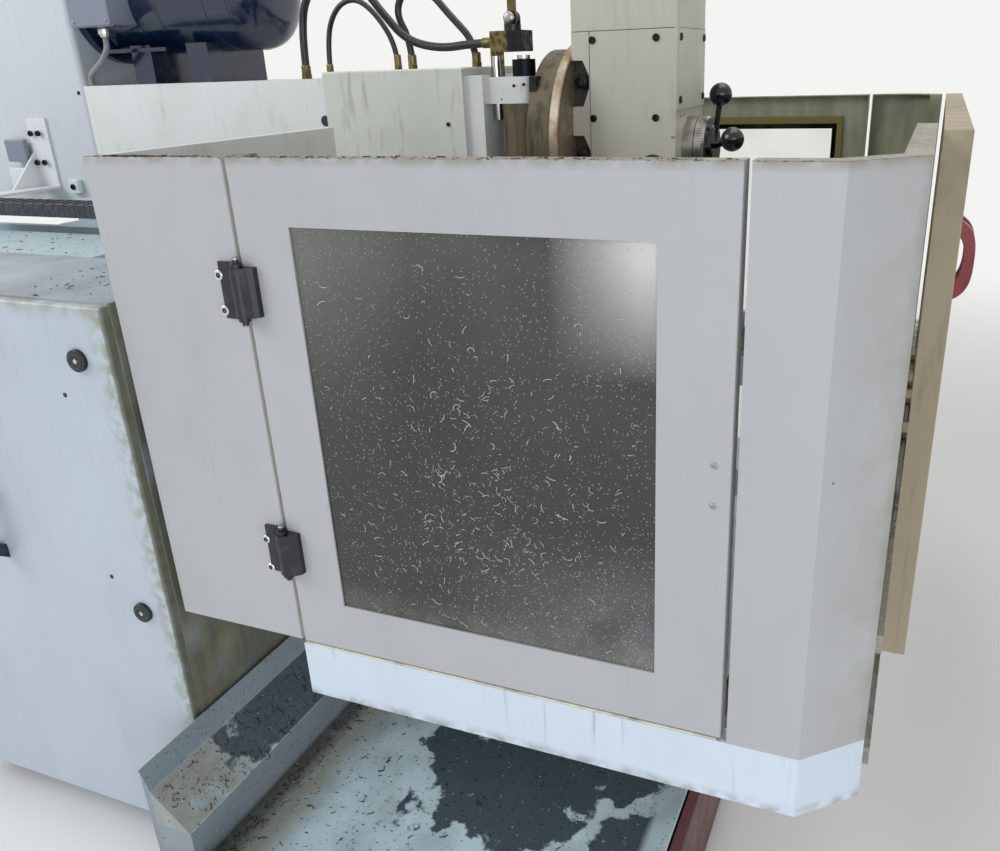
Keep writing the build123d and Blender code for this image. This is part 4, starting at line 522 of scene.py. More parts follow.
        # Coolant block: dirty brass whose front half is blackened by oil
        coat = stained("oily_brass", "#7A6C46", 0.75, "#2F2A1F", (12, 0.36, 0.62), 0.32, 0.6, 2, 0.04,
                       Metallic=1.0)
        coat.stain(0.92, "#20232B", ("Y", -324, -330))
        # Graduated ring: steel gone brown with rust under an oil film
        coat = stained("rusty_ring_steel", "#A79D8B", 0.8, "#86694F", (30, 0.38, 0.62), 0.34, 0.62, 5, 0.2,
                       Metallic=0.7)
        coat.stain(0.85, "#2C211A", coat.specks(6, 1.0, 0.4))
        # Ground cast iron: grey with dark pores and lay lines along the table
        coat = Coat("ground_cast_iron", "#83827E", Metallic=1.0)
        lay_lines = coat.patches(10, 0.3, 0.7, stretch=(0.05, 1, 1))
        coat.stain(0.3, "#65635D", lay_lines)
        coat.stain(0.8, DARK, coat.specks(6, 0.8, 0.5))
        coat.surface(lay_lines, 0.28, 0.45, lay_lines, 0.04)
        # Hinge pin: bright ground pin with a blackened ring nut
        coat = Coat("hinge_pin_steel", "#B4B5B4", Metallic=1.0)
        nut = coat.only(("Z", 1566, 1568), ("Z", 1604, 1602), ("Y", -334, -337))
        coat.stain(1, "#1B1D22", nut)
        coat.surface(nut, 0.2, 0.36, (2, 0.2, 0.8), 0.03)
        # Feed capstan: satin steel dial, black hub, levers and ball knobs
        coat = Coat("capstan_steel", "#A7A6A1")
        black = coat.band("Y", -750.6, -751.4)
        metal = put(coat.tree, "MapRange", {"Value": black, "To Min": 1.0, "To Max": 0.0})
        coat.tree.links.new(metal.outputs[0], coat.shader.inputs["Metallic"])
        coat.stain(0.5, "#716C62", (20, 0.42, 0.7))
        coat.stain(1, "#14161B", black)
        coat.surface(black, 0.34, 0.16)


# Modelling helpers

def choose(*objs):
    """Selects only these pieces and makes the first active."""
    bpy.ops.object.select_all(action="DESELECT")
    for obj in objs:
        obj.select_set(True)
    bpy.context.view_layer.objects.active = objs[0]


def settle():
    """Applies the active piece's place, turn and size to its mesh."""
    bpy.ops.object.transform_apply(location=True, rotation=True, scale=True)


def edit(selected="SELECT"):
    """Opens the active piece's mesh with all or nothing of it selected."""
    bpy.ops.object.mode_set(mode="EDIT")
    bpy.ops.mesh.select_all(action=selected)


def leave(outward=False):
    """Closes the open mesh, with its faces turned outward where that is asked."""
    if outward:
        bpy.ops.mesh.normals_make_consistent(inside=False)
    bpy.ops.object.mode_set(mode="OBJECT")


def push(height):
    """Extrudes what is selected along +Z."""
    bpy.ops.mesh.extrude_region_move(TRANSFORM_OT_translate={"value": (0, 0, height * MM)})


def placed(centre, axis=UP, turn=0.0, size=(1, 1, 1)):
    """The matrix that sizes and turns a part made along +Z, and puts it on an axis at a centre."""
    facing = Vector(axis).to_track_quat("Z", "Y").to_matrix().to_4x4()
    return (Matrix.Translation(Vector(centre) * MM) @ facing @ Matrix.Rotation(turn, 4, "Z")
            @ Matrix.Diagonal((*size, 1.0)))


def slab(corner, opposite, rounding=0.0, steps=2):
    """A block between two corners, with rounded edges."""
    middle = [(a + b) / 2 * MM for a, b in zip(corner, opposite)]
    bpy.ops.mesh.primitive_cube_add(size=1, location=middle)
    obj = bpy.context.active_object
    obj.scale = [abs(b - a) * MM for a, b in zip(corner, opposite)]
    settle()
    if rounding:
        soft = obj.modifiers.new("edges", "BEVEL")
        soft.width = rounding * MM
        soft.segments = steps
        bpy.ops.object.modifier_apply(modifier=soft.name)
    return obj


def turned(profile, centre=(0, 0, 0), axis=UP, segments=24, smooth=35):
    """A turned part from (radius, height) steps, set on an axis at a centre."""
    radius, height = profile[0]
    bpy.ops.mesh.primitive_circle_add(vertices=segments, radius=radius * MM, fill_type="NGON",
                                      location=(0, 0, height * MM))
    obj = bpy.context.active_object
    settle()
    edit()
    for wider, higher in profile[1:]:
        push(higher - height)
        grow = wider / radius
        bpy.ops.transform.resize(value=(grow, grow, 1), center_override=(0, 0, higher * MM))
        radius, height = wider, higher
    bpy.ops.mesh.select_all(action="SELECT")
    bpy.ops.mesh.remove_doubles(threshold=0.001 * MM)
    leave(outward=True)
    bpy.ops.object.shade_smooth_by_angle(angle=math.radians(smooth))
    obj.matrix_world = placed(centre, axis)
    choose(obj)
    settle()
    return obj


def socket_screw(radius, height, segments=20):
    """A cap screw along +Z with a chamfered rim and a round recess."""
    obj = turned([(radius, -0.5), (radius, height - 1.0), (radius - 1.0, height)], segments=segments)
    edit("DESELECT")
    leave()
    for face in obj.data.polygons:
        face.select = face.normal.z > 0.9
    bpy.ops.object.mode_set(mode="EDIT")
    bpy.ops.mesh.inset(thickness=radius * 0.42 * MM)
    push(-height * 0.7)
    leave()
    return obj


def again(source):
    """A copy of a piece with its own mesh."""
    copy = source.copy()
    copy.data = source.data.copy()
    bpy.context.scene.collection.objects.link(copy)
    return copy


def joined(parts):
    """Joins pieces into one mesh at the origin."""
    choose(*parts)
    if len(parts) > 1:
        bpy.ops.object.join()
    settle()
    return bpy.context.active_object


def spread(source, matrices):
    """Copies a piece made at the origin to each place and joins the copies; the source goes."""
    parts = []
    for matrix in matrices:
        copy = again(source)
        copy.matrix_world = matrix
        parts.append(copy)
    bpy.data.objects.remove(source)
    return joined(parts)


def repeated(source, places):
    """Spreads a piece over places, each a centre and an axis, and a turn and a size where it has them."""
    return spread(source, [placed(*place) for place in places])


def dress(obj, name, finish, body, stands_for=()):
    """Names a finished piece, gives it its finish, and fixes it to the body that carries it, if one does."""
    obj.name = name
    obj.data.name = name
    obj.data.materials.clear()
    obj.data.materials.append(bpy.data.materials[finish])
    if body:
        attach(obj, body)
    if stands_for:
        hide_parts(*stands_for)
    return obj


def blackened(obj, name, body):
    """Dresses a small piece of blackened steel."""
    return dress(obj, name, "black_oxide_steel", body)


# Chips

def curl(length_mm, width_mm, bend, thick, pieces=7):
    """One milling chip: a narrow strip that curls through an angle, standing on its edge."""
    radius = length_mm / bend
    bpy.ops.mesh.primitive_plane_add(size=1)
    obj = bpy.context.active_object
    bpy.ops.object.mode_set(mode="EDIT")
    bpy.ops.mesh.delete(type="ONLY_FACE")
    bpy.ops.mesh.select_all(action="DESELECT")
    leave()
    # Two of the plane's corners become the strip's end, and the other two go
    corners = obj.data.vertices
    for index, (x, z) in enumerate(((radius, 0), (radius, width_mm), (0, 0), (0, 0))):
        corners[index].co = (x * MM, 0 if x else 9 * MM, z * MM)
        corners[index].select = index > 1
    bpy.ops.object.mode_set(mode="EDIT")
    bpy.ops.mesh.delete(type="VERT")
    bpy.ops.mesh.select_all(action="SELECT")
    bpy.ops.mesh.spin(steps=pieces, angle=bend, center=(0, 0, 0), axis=UP)
    leave()
    for vertex in corners:
        around = math.atan2(vertex.co.y, vertex.co.x)
        vertex.co.z += width_mm * 0.35 * MM * math.sin(around * 1.3)
        vertex.co.x -= radius * MM
    wall = obj.modifiers.new("wall", "SOLIDIFY")
    wall.thickness = thick * MM
    wall.offset = 0
    bpy.ops.object.modifier_apply(modifier=wall.name)
    edit()
    leave(outward=True)
    return obj


def strewn(places, seed, small, large, thick):
    """Strews curled, straight and tight chips, mostly small ones, each at a point with its surface's normal."""
    rng = random.Random(seed)
    long_mm, wide_mm = sizes().chip_length / MM, sizes().chip_width / MM
    kinds = [curl(long_mm * length, wide_mm, bend, thick)
             for length, bend in ((1.3, 0.9), (0.6, 0.45), (1.5, 3.0))]
    parts = []
    for point, normal in places:
        copy = again(rng.choices(kinds, weights=(5, 6, 2))[0])
        size = small + (large - small) * rng.random() ** 3
        shape = (size, size * rng.uniform(0.6, 1.0), size)
        copy.matrix_world = placed(point, normal, rng.uniform(0, math.tau), shape)
        parts.append(copy)
    for kind in kinds:
        bpy.data.objects.remove(kind)
    return joined(parts)


class MILL_OT_stage(bpy.types.Operator):
    """Sets the camera at the photograph's angle, the pale floor and the soft studio light."""
    bl_idname = "mill.stage"
    bl_label = "Camera, floor and light"

    def execute(self, context):
        context.scene.view_settings.view_transform = "Standard"
        self.camera(context.scene)
        self.floor()
        self.lamps(context.scene)
        self.backdrop(context.scene)
        return {"FINISHED"}

    def camera(self, scene):
        eye = Vector((-1998.9, -1212.2, 1585.9)) * MM
        yaw, pitch, roll = (math.radians(a) for a in (22.35, 22.12, -1.95))
        ahead = Vector((math.cos(pitch) * math.cos(yaw), math.cos(pitch) * math.sin(yaw), -math.sin(pitch)))
        level = Vector((math.sin(yaw), -math.cos(yaw), 0))
        upright = level.cross(ahead)
        right = math.cos(roll) * level + math.sin(roll) * upright
        up = -math.sin(roll) * level + math.cos(roll) * upright
        data = bpy.data.cameras.new("camera")
        data.lens = 32.03
        data.sensor_width = 36.0
        data.sensor_fit = "HORIZONTAL"
        data.shift_x = -0.0661
        data.shift_y = 0.0021
        data.clip_end = 60.0
        camera = bpy.data.objects.new("camera", data)
        camera.matrix_world = Matrix.Translation(eye) @ Matrix((right, up, -ahead)).transposed().to_4x4()
        scene.collection.objects.link(camera)
        scene.camera = camera

    def floor(self):
        bpy.ops.mesh.primitive_plane_add(size=30)
        plane = bpy.context.active_object
        plane.name = "floor"
        coat = Coat("pale_floor", "#F1F1EF", IOR=1.45)
        cloud = coat.patches(1400, 0.3, 0.8)
        coat.stain(0.3, "#E9E9E7", cloud)
        coat.surface(cloud, 0.6, 0.75)
        # Away from the object the floor runs out into the white of the background
        away = put(coat.tree, "VectorMath", {0: coat.place}, operation="LENGTH").outputs["Value"]
        far = put(coat.tree, "MapRange", {"Value": away, "From Min": 2.3, "From Max": 6.0},
                  interpolation_type="SMOOTHSTEP").outputs[0]
        white = put(coat.tree, "Emission", {"Color": linear("#F4F4F2"), "Strength": 1.0})
        mixed = put(coat.tree, "MixShader", {0: coat.only(far, seen_white(coat.tree)),
                                             1: coat.shader.outputs[0], 2: white.outputs[0]})
        coat.tree.links.new(mixed.outputs[0], coat.output.inputs["Surface"])
        plane.data.materials.append(bpy.data.materials["pale_floor"])

    def lamps(self, scene):
        """Window light from behind, a soft fill from the operator's side and one over the top."""
        for name, centre, target, size, watts, tone in (
                ("window_light", (-3.2, 3.6, 4.2), (0, 0.2, 1.2), (3.4, 2.6), 160, "#F7FAFF"),
                ("room_light", (-4.4, -2.8, 1.5), (-0.9, -0.3, 0.7), (3.4, 2.2), 84, "#EDF3FF"),
                ("top_light", (0.6, -0.8, 5.2), (0, -0.1, 1.0), (3.6, 3.6), 92, "#FFF6E8")):
            data = bpy.data.lights.new(name, "AREA")
            data.shape = "RECTANGLE"
            data.size, data.size_y = size
            data.energy = watts
            data.color = linear(tone)
            lamp = bpy.data.objects.new(name, data)
            lamp.location = centre
            lamp.rotation_euler = (Vector(target) - Vector(centre)).to_track_quat("-Z", "Y").to_euler()
            scene.collection.objects.link(lamp)

    def backdrop(self, scene):
        scene.world = bpy.data.worlds.new("studio")
        scene.world.use_nodes = True
        tree = scene.world.node_tree
        tree.nodes.clear()
        room = put(tree, "Background", {"Color": linear("#DDE2EA"), "Strength": 0.5})
        white = put(tree, "Background", {"Color": linear("#F4F4F2"), "Strength": 1.0})
        mixed = put(tree, "MixShader", {0: seen_white(tree), 1: room.outputs[0], 2: white.outputs[0]})
        put(tree, "OutputWorld", {"Surface": mixed.outputs[0]})


class MILL_OT_hoses(bpy.types.Operator):
    """Lays the three coolant hoses from the block over the ram's front cover."""
    bl_idname = "mill.hoses"
    bl_label = "Coolant hoses"

    def execute(self, context):
        runs = {
            "coolant_hose_main": (9, 0.732, (
                (-80, -287, 1638), (-80, -232, 1638), (-82, -150, 1630), (-84, -66, 1650), (-86, -10, 1710),
                (-86, 40, 1772), (-84, 110, 1800), (-82, 186, 1770), (-80, 222, 1690), (-80, 222, 1576))),
            "coolant_hose_loop": (8, 0.445, (
                (-50, -223, 1590), (-50, -223, 1640), (-46, -160, 1700), (-44, -112, 1752), (-44, -52, 1764),
                (-44, -18, 1712), (-46, -54, 1652), (-46, -54, 1590))),
            "coolant_hose_thin": (6, 0.400, (
                (-112, -55, 1590), (-112, -55, 1640), (-112, -8, 1710), (-112, 42, 1744), (-112, 96, 1726),
                (-112, 130, 1660), (-112, 130, 1576))),
        }
        for name, (radius, run, points) in runs.items():
            curve = bpy.data.curves.new(name, "CURVE")
            curve.dimensions = "3D"
            line = curve.splines.new("NURBS")
            line.points.add(len(points) - 1)
            for knot, (x, y, z) in zip(line.points, points):
                knot.co = (x * MM, y * MM, z * MM, 1.0)
            line.order_u = 3
            line.use_endpoint_u = True
            line.resolution_u = 10
            curve.bevel_depth = radius * MM
            curve.bevel_resolution = 5
            curve.use_fill_caps = True
            hose = bpy.data.objects.new(name, curve)
            context.scene.collection.objects.link(hose)
            curve.materials.append(bpy.data.materials["black_rubber"])
            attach(hose, "ram")
            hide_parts("coolant_hoses")
        return {"FINISHED"}


class MILL_OT_cabin_trim(bpy.types.Operator):
    """Adds the hinge screws and pin ends, the seal strip, a sealant line and small screws of the cabin."""
    bl_idname = "mill.cabin_trim"
    bl_label = "Cabin trim"

    def execute(self, context):
        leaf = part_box("hinge_leaves")[0][0] / MM
        screws = [((leaf, -238, z + rise), LEFT) for z in HINGES for rise in (-27, 27)]
        dress(repeated(turned([(7.6, -0.4), (7.6, 0.8), (6.8, 1.4), (4.6, 1.4)]), screws),
              "hinge_screw_washers", "washer_steel", "knee")
        blackened(repeated(socket_screw(4.2, 2.2), screws), "hinge_screw_heads", "knee")
        pin_x, pin_y, reach = -962, -265.5, 50
        pins = [((pin_x, pin_y, z + side * reach), (0, 0, side)) for z in HINGES for side in (-1, 1)]
        dress(repeated(turned([(4.8, -1), (4.8, 1.6), (3.6, 2.6)]), pins),
              "hinge_pin_ends", "turned_steel", "left_door")

        gap, wide = -262.5, sizes().seal_width / MM
        strip = slab((-944, gap - wide / 2, 655), (-937, gap + wide / 2, CABIN_TOP - 2), 1.0)
        dress(strip, "hinge_gap_seal", "cream_rubber_seal", "knee")
        bead = slab((-949.2, -1006, 647.4), (-944, -266, 651.4), 1.4)
        dress(bead, "skirt_sealant_line", "ivory_sealant", "knee")
        edge = [((-950, -988, 1096), LEFT, 0.3), ((-950, -988, 1037), LEFT, 0.9)]
        dress(repeated(socket_screw(4.6, 2.0), edge), "door_edge_screws", "zinc_plated_steel", "left_door")
        return {"FINISHED"}


class MILL_OT_energy_chain(bpy.types.Operator):
    """Builds the energy chain of single links that run back, turn over and end at the ram's bracket."""
    bl_idname = "mill.energy_chain"
    bl_label = "Energy chain"

    def link(self, pitch):
        """One link: two side plates with a joint boss, and a wide and a narrow bar above and below."""
        parts = []
        for side in (-1, 1):
            parts.append(slab((side * 29.5, -16.6, -pitch / 2), (side * 34.5, 16.6, pitch / 2 - 0.8), 3.5, 3))
            parts.append(turned([(8.5, -0.2), (8.5, 0.3), (7.0, 0.5)], (side * 34.5, 0, pitch / 2 - 9),
                                (side, 0, 0), segments=20))
        for low in (-16.9, 13.9):
            parts.append(slab((-30, low, -6), (30, low + 3.0, 6), 1.2))
            parts.append(slab((-30, low + 0.6, 8), (30, low + 2.4, 12), 0.8))
        return joined(parts)

    def execute(self, context):
        x, bend_y, low, high = -380, 560.0, 1197.0, 1299.0
        middle, radius = (low + high) / 2, (high - low) / 2
        pitch = sizes().link_pitch / MM

        def straight(end, z):
            """Places of the links in a row from the bend to an end."""
            row, y = [], bend_y + pitch / 2
            while y < end - pitch / 2:
                row.append(((x, y, z), BACK))
                y += pitch
            return row

        turn = []
        for step in range(5):
            angle = math.radians(18 + 36 * step)
            turn.append(((x, bend_y - radius * math.sin(angle), middle - radius * math.cos(angle)),
                         (0, -math.cos(angle), math.sin(angle))))
        places = straight(1250, low) + turn + straight(1090, high)
        chain = dress(repeated(self.link(pitch), places), "energy_chain_links", "moulded_polyamide", None,
                      ("energy_chain",))
        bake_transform(chain)
        return {"FINISHED"}


class MILL_OT_motor_details(bpy.types.Operator):
    """Adds the motor's joint bands and bolts, the terminal box's lid and rim, and the cable gland."""
    bl_idname = "mill.motor_details"
    bl_label = "Motor details"

    def execute(self, context):
        radius, bolt_circle = 130.0, 108
        bands = []
        for y, wide in ((395, 3), (470, 8), (612, 3), (690, 8)):
            bands.append(turned([(radius - 2, -wide), (radius + 1.0, -wide + 1), (radius + 1.0, wide - 1),
                                 (radius - 2, wide)], (0, y, MOTOR_AXIS), BACK, segments=96))
        dress(joined(bands), "motor_bands", "motor_enamel", "ram")
        angles = [math.radians(22.5 + 45 * step) for step in range(8)]
        bolts = [((math.cos(a) * bolt_circle, 392, MOTOR_AXIS + math.sin(a) * bolt_circle), FRONT, a)
                 for a in angles]
        dress(repeated(turned([(7, -2), (7, 4.0), (6, 5.0)], segments=6, smooth=20), bolts),
              "motor_end_bolts", "zinc_plated_steel", "ram")

        low, high = ([v / MM for v in corner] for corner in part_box("terminal_box"))
        x, front, bottom, back, top = low[0], low[1], high[2] - 88, high[1], high[2]
        lid = slab((x - 0.2, front + 2, bottom + 2), (x + 6, back - 2, top - 2), 2.2, 3)
        dress(lid, "terminal_box_lid", "grey_box_enamel", "ram")
        rim = slab((x + 6.4, front - 1.4, bottom - 1.2), (x + 14, back + 1.4, bottom + 4), 1.0)
        dress(rim, "terminal_box_rim", "zinc_plated_steel", "ram")
        corners = [((x - 0.2, y, z), LEFT) for y in (front + 12, back - 12) for z in (bottom + 12, top - 12)]
        dress(repeated(socket_screw(4.2, 2.4), corners), "terminal_box_screws", "zinc_plated_steel", "ram")
        nut = turned([(14, -6), (14, 5), (12.5, 7), (11, 7), (11, 10), (8.4, 13)], (-165, 751, 1700),
                     (0, 0, -1), segments=12, smooth=20)
        dress(nut, "cable_gland_nut", "washer_steel", "ram")
        return {"FINISHED"}


class MILL_OT_head_details(bpy.types.Operator):
    """Adds the head's screws, seams, plug and pocket bolts, and the scales of the ring and the dial."""
    bl_idname = "mill.head_details"
    bl_label = "Head details"

    def execute(self, context):
        left, front = (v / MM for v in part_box("head_casting")[0][:2])
        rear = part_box("head_side_covers")[1][1] / MM
        radius = sizes().cover_screw / 2 / MM
        places = [((side * -left, y, z), (side, 0, 0), 0.4 * y)
                  for side in (-1, 1) for y in (rear - 7, -662) for z in (1633, 1480)]
        places += [((x, front, z), FRONT, 0.3 * x) for x in (-97, 97) for z in (1633, 1514)]
        blackened(repeated(socket_screw(radius, 3.2, 24), places), "head_cover_screws", "milling_head")
        small = [((left, -699, 1443), LEFT), ((-74, front + 4, 1482), FRONT),
                 ((-46, front + 4, 1484), FRONT, 0.4)]
        dress(repeated(socket_screw(3.6, 2.2), small), "head_small_screws", "zinc_plated_steel",
              "milling_head")

        seams = []
        for side in (-1, 1):
            inner, outer = (side * (-left + d) for d in (-0.6, 0.25))
            seams.append(slab((inner, front + 8, COVER_TOP - 0.5), (outer, rear + 38, COVER_TOP + 0.7)))
            seams.append(slab((inner, rear - 0.6, 1262), (outer, rear + 0.6, COVER_TOP)))
            seams.append(slab((inner, front + 8, 1261.4), (outer, rear, 1262.6)))
        seams.append(slab((left + 3, front - 0.25, COVER_TOP - 0.5), (-left - 3, front + 0.6, COVER_TOP + 0.7)))
        dress(joined(seams), "head_cover_seams", "black_rubber", "milling_head")

        plug = turned([(28, -1), (28, 2.2), (26.5, 3.4), (20, 3.8), (18, 2.4), (6, 2.4), (5, 0.8), (2, 0.8)],
                      (left, -656, 1379), LEFT, segments=48)
        dress(plug, "head_side_plug", "moulded_polyamide", "milling_head")
        bolts = [((side * 110, -497, z), (side, 0, 0), 0.2) for side in (-1, 1) for z in (1552, 1402)]
        heads = turned([(11, -0.5), (11, 1.6), (9.8, 2.4), (6.4, 2.4), (6.2, -0.2), (2.0, -0.4)])
        blackened(repeated(heads, bolts), "clamp_bolt_heads", "milling_head")

        ring_low, ring_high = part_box("swivel_ring")
        mark = slab((-0.45, -9.0, -0.3), (0.45, 0, 0.25))
        self.scale(mark, 180, 5, 1.9, (ring_low[1] / MM, RING_AXIS, ring_high[0] / MM - 4), 90,
                   "swivel_scale", "head_carrier")
        mark = slab((-0.3, -4.5, -0.3), (0.3, 4.5, 0.22))
        self.scale(mark, 72, 6, 1.7, (-741, DIAL_AXIS, 65.0), 0, "dial_scale", "feed_capstan")
        groove = turned([(65.0, -0.8), (65.35, -0.6), (65.35, 0.6), (65.0, 0.8)], (0, -729, DIAL_AXIS), BACK,
                        segments=96)
        blackened(groove, "dial_line", "feed_capstan")
        return {"FINISHED"}

    def scale(self, mark, count, every, longer, place, lean, name, body):
        """Repeats a mark round an axis along Y, at a place (y, z, radius), with a longer one every so often."""
        y, z, radius = place
        blackened(spread(mark, [
            Matrix.Translation(Vector((0, y, z)) * MM) @ Matrix.Rotation(math.tau / count * step, 4, "Y")
            @ Matrix.Translation(Vector((0, 0, radius)) * MM) @ Matrix.Rotation(math.radians(lean), 4, "X")
            @ Matrix.Diagonal((1.0, 1.0 if step % every else longer, 1.0, 1.0))
            for step in range(count)]), name, body)


class MILL_OT_ram_details(bpy.types.Operator):
    """Adds the ram's plug, screws and lug bolt, the bracket blocks and screws, and the coolant fittings."""
    bl_idname = "mill.ram_details"
    bl_label = "Ram and coolant details"

    def execute(self, context):
        plug = turned([(12, -1), (12, 1.6), (11, 2.4), (6, 2.6), (5, 1.4), (2, 1.4)], (RAM_SIDE, 126, 1484),
                      LEFT, segments=32)
        dress(plug, "ram_side_plug", "black_rubber", "ram")
        screws = [((-168, -203, 1474), LEFT), ((RAM_SIDE, 888, 1560), LEFT, 0.3)]
        blackened(repeated(socket_screw(5.0, 2.2), screws), "ram_cover_screws", "ram")
        blackened(slab((-157, -414, 1536), (-130, -396.5, 1568), 2.0, 3), "lug_clamp_nut", "ram")
        pins = [((-157, -361, 1550), LEFT), ((-157, -384, 1552), LEFT)]
        blackened(repeated(turned([(3.2, -4), (3.2, 0.3), (2.4, 0.6)], segments=16), pins),
                  "lug_set_screws", "ram")

        for name, finish, corner, opposite, rounding, steps in (
                ("bracket_grey_block", "grey_box_enamel", (-186, 1104, 1388), (-172, 1178, 1446), 2.5, 2),
                ("bracket_pale_block", "white_bracket_enamel", (-186, 1116, 1318), (-172, 1186, 1372), 2.0, 2),
                ("ram_foot_stop", "white_bracket_enamel", (-176, 948, 1304), (RAM_SIDE, 984, 1341), 3.0, 3)):
            dress(slab(corner, opposite, rounding, steps), name, finish, "ram")
        screws = [((-172, y, z), LEFT, 0.5) for y in (1084, 1056) for z in (1461, 1385)]
        screws.append(((-176, 966, 1322), LEFT, 0.2))
        blackened(repeated(socket_screw(7.5, 5.0), screws), "bracket_screws", "ram")

        # Hose ends: each a centre, the way it faces and the union nut's radius
        ends = (((-80, -287, 1638), BACK, 13), ((-80, 222, 1576), UP, 13), ((-50, -223, 1590), UP, 12),
                ((-46, -54, 1590), UP, 12), ((-112, -55, 1590), UP, 9.5), ((-112, 130, 1576), UP, 9.5))
        nut = turned([(1, -0.2), (1, 0.9), (0.92, 1)], segments=6, smooth=20)
        sleeve = turned([(1, 0), (1, 0.86), (0.9, 1), (0.86, 1)])
        for source, name, share, tall, away in ((nut, "hose_union_nuts", 1, 11, 0),
                                                (sleeve, "hose_crimp_sleeves", 0.84, 20, 11)):
            places = [(Vector(centre) + Vector(axis) * away, axis, 0.0, (wide * share, wide * share, tall))
                      for centre, axis, wide in ends]
            dress(repeated(source, places), name, "machined_brass", "ram")

        ribs = [(19, 0)]
        for step in range(4):
            low = 3.2 * step
            ribs += [(19, low + 1.8), (16, low + 2.4), (16, low + 3.0), (19, low + 3.2)]
        dress(turned(ribs, (-80, -330, 1660), segments=32), "arm_ribbed_neck", "black_rubber", "ram")
        knob = turned([(12.5, 0), (12.5, 3), (10.5, 5.5), (7, 6.6), (2, 7)], (-96, -330, 1685), LEFT,
                      segments=32)
        dress(knob, "arm_joint_screw", "turned_steel", "ram")
        return {"FINISHED"}


class MILL_OT_cabinet_details(bpy.types.Operator):
    """Adds the key pins and beads of the cabinet locks and the plugs in the door."""
    bl_idname = "mill.cabinet_details"
    bl_label = "Cabinet details"

    def execute(self, context):
        for lock, y, z in (("upper_lock", 105, 1148), ("lower_lock", 97, 645)):
            centre = (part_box(lock)[0][0] / MM, y, z)
            pin = turned([(5.2, -0.5), (5.2, 0.6), (4.4, 1.0), (2.4, 1.0)], centre, LEFT, segments=4, smooth=20)
            dress(pin, f"{lock}_key_pin", "washer_steel", lock)
            bead = turned([(11.5, -0.3), (11.5, 0.5), (12.2, 0.9), (13.4, 0.9), (14.1, 0.5), (14.1, -0.3),
                           (11.5, -0.3)], centre, LEFT, segments=40)
            dress(bead, f"{lock}_bead", "moulded_polyamide", lock)
        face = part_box("cabinet_door")[0][0] / MM + 5
        plug = turned([(4.4, -0.5), (4.4, 0.7), (3.2, 1.1), (1, 1.2)], segments=20)
        dress(repeated(plug, [((face, 160, 1079), LEFT), ((face, 161, 710), LEFT)]), "cabinet_door_plugs",
              "black_rubber", "cabinet_door")
        return {"FINISHED"}


class MILL_OT_far_wall(bpy.types.Operator):
    """Adds the sealant round the far window and the grommet in the far front corner."""
    bl_idname = "mill.far_wall"
    bl_label = "Far wall details"

    def execute(self, context):
        (x, front, bottom), (_, rear, top) = ([v / MM for v in corner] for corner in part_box("right_window"))
        runs = [((front - 14, top - 2), (rear + 14, top + 20)),
                ((front - 14, bottom - 10), (rear + 14, bottom + 2)),
                ((front - 16, bottom), (front + 2, top)), ((rear - 2, bottom), (rear + 8, top))]
        beads = [slab((x - 2.5, y0, z0), (x + 5, y1, z1), 2.0) for (y0, z0), (y1, z1) in runs]
        dress(joined(beads), "far_window_sealant", "olive_sealant", "right_door")
        grommet = turned([(3.0, 0.3), (8.0, 0.3), (9.5, 1.6), (9.5, 2.2), (8.4, 2.8), (6.2, 2.8), (5.2, 1.4),
                          (3.0, 1.4), (3.0, 0.3)], (947, -1179, 1452), LEFT, segments=32)
        dress(grommet, "far_corner_grommet", "black_rubber", "knee")
        return {"FINISHED"}


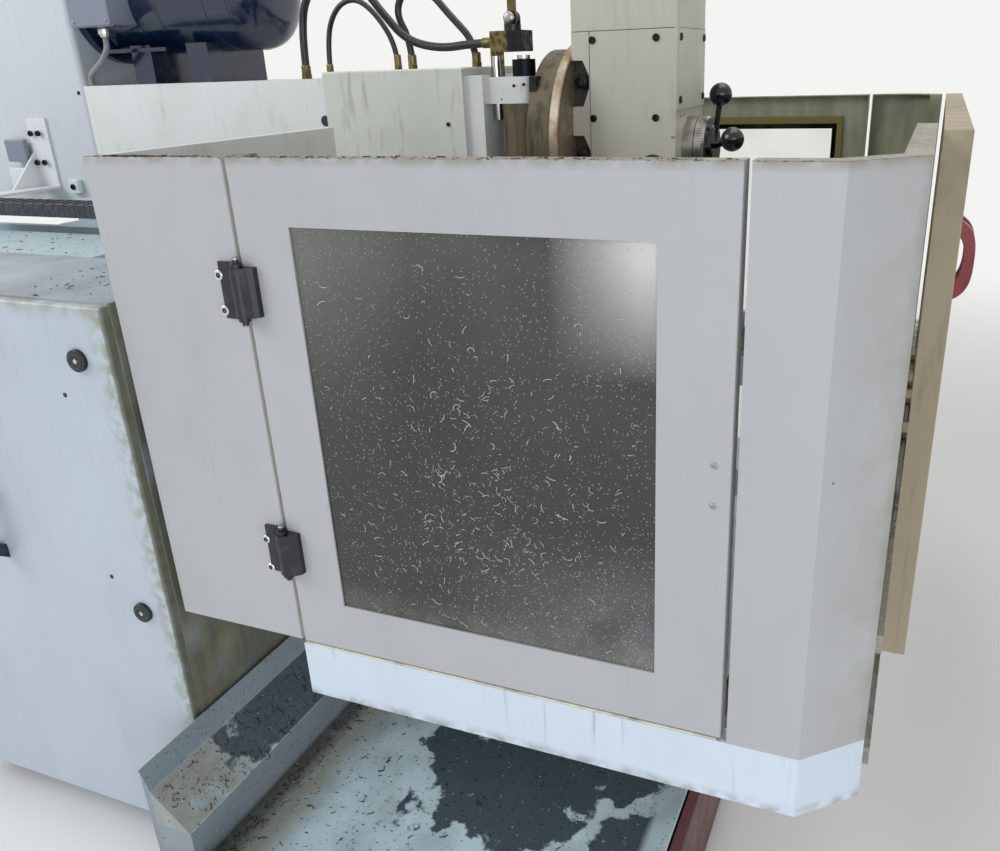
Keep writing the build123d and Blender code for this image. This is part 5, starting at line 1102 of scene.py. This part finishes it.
class MILL_OT_chips(bpy.types.Operator):
    """Strews milling chips over the window, the tray, the ledges, the cabinet and the console."""
    bl_idname = "mill.chips"
    bl_label = "Milling chips"

    def execute(self, context):
        rng = random.Random(11)
        self.window(rng)
        self.tray(rng)
        self.ledges(rng)
        return {"FINISHED"}

    def window(self, rng):
        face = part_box("left_window")[0][0] / MM - 0.1

        def spot(y_mid, z_mid, y_spread, z_spread):
            while True:
                y, z = rng.gauss(y_mid, y_spread), rng.gauss(z_mid, z_spread)
                if -900 < y < -370 and 756 < z < 1374:
                    return (face, y, z), LEFT

        clouds = [(-650, 930, 85, 90), (-600, 970, 140, 130), (-640, 1060, 200, 210), (-640, 1060, 230, 230)]
        places = [spot(*rng.choice(clouds)) for _ in range(sizes().window_chips)]
        dress(strewn(places, 3, 0.2, 1.6, 0.55), "window_chips", "window_chip_steel", "left_door")

    def tray(self, rng):
        shelf_y, shelf_z, lip_z = -77, 298, 373
        bright, dark = [], []
        for index in range(sizes().tray_chips):
            x = rng.uniform(-1112, -430) if index % 5 else rng.uniform(-430, 1112)
            y = rng.uniform(-880, -82) if index % 3 else rng.uniform(-74, -4)
            if index % 4 == 0:
                y = rng.gauss(-100, 14)
            if y < shelf_y - 1:
                point, normal = (x, y, TRAY_FLOOR + 0.4), (rng.uniform(-0.2, 0.2), rng.uniform(-0.2, 0.2), 1)
            elif y < shelf_y:
                continue
            else:
                # The rear shelf slopes up to its lip, which is steeper
                rise = (y - shelf_y) / -shelf_y * 75 + shelf_z if y < 0 else lip_z + y / 15 * 46
                point, normal = (x, y, rise + 0.3), (0, -0.7, 0.72)
            (bright if rng.random() < 0.45 else dark).append((point, normal))
        dress(strewn(bright, 5, 0.35, 1.7, 0.5), "tray_chips_bright", "steel_chips", "base")
        dress(strewn(dark, 6, 0.45, 1.9, 0.6), "tray_chips_dark", "dark_chips", "base")

    def ledges(self, rng):
        places = {"knee": [], "left_door": [], "base": []}
        for _ in range(sizes().ledge_chips):
            pick = rng.random()
            if pick < 0.42:
                body, x, y, z = "knee", rng.uniform(-949, -934), -rng.triangular(0, 250, 60), CABIN_TOP
            elif pick < 0.6:
                body, x, y, z = "left_door", rng.uniform(-949, -934), rng.uniform(-1005, -275), CABIN_TOP
            elif pick < 0.75:
                body, x, y, z = "base", rng.uniform(-940, -655), rng.uniform(40, 300), LEDGE_TOP
            else:
                body, x, y, z = "base", rng.uniform(-640, -430), rng.uniform(410, 1200), LEDGE_TOP
            places[body].append(((x, y, z + 0.2), UP))
        for body, spots in places.items():
            dress(strewn(spots, 8, 0.3, 1.3, 0.6), f"ledge_chips_{body}", "dark_chips", body)


OPERATORS = (MILL_OT_stage, MILL_OT_finishes, MILL_OT_hoses, MILL_OT_cabin_trim, MILL_OT_energy_chain,
             MILL_OT_motor_details, MILL_OT_head_details, MILL_OT_ram_details, MILL_OT_cabinet_details,
             MILL_OT_far_wall, MILL_OT_chips)


class MILL_PT_panel(bpy.types.Panel):
    """Lists the steps that finish the machine, with its sizes and colours."""
    bl_idname = "MILL_PT_panel"
    bl_label = "Milling Machine"
    bl_space_type = "VIEW_3D"
    bl_region_type = "UI"
    bl_category = "Milling Machine"

    def draw(self, context):
        for group in (context.scene.mill_sizes, context.scene.mill_colours):
            box = self.layout.box()
            for name in group.bl_rna.properties.keys():
                if name not in ("rna_type", "name"):
                    box.prop(group, name)
        for operator in OPERATORS:
            self.layout.operator(operator.bl_idname)


CLASSES = (MillSizes, MillColours, *OPERATORS, MILL_PT_panel)


def register():
    for cls in CLASSES:
        bpy.utils.register_class(cls)
    bpy.types.Scene.mill_sizes = bpy.props.PointerProperty(type=MillSizes)
    bpy.types.Scene.mill_colours = bpy.props.PointerProperty(type=MillColours)


def unregister():
    del bpy.types.Scene.mill_colours
    del bpy.types.Scene.mill_sizes
    for cls in reversed(CLASSES):
        bpy.utils.unregister_class(cls)


def main():
    register()
    bpy.ops.mill.stage()
    bpy.ops.mill.finishes()
    bpy.ops.mill.hoses()
    bpy.ops.mill.cabin_trim()
    bpy.ops.mill.energy_chain()
    bpy.ops.mill.motor_details()
    bpy.ops.mill.head_details()
    bpy.ops.mill.ram_details()
    bpy.ops.mill.cabinet_details()
    bpy.ops.mill.far_wall()
    bpy.ops.mill.chips()


if __name__ == "__main__":
    main()
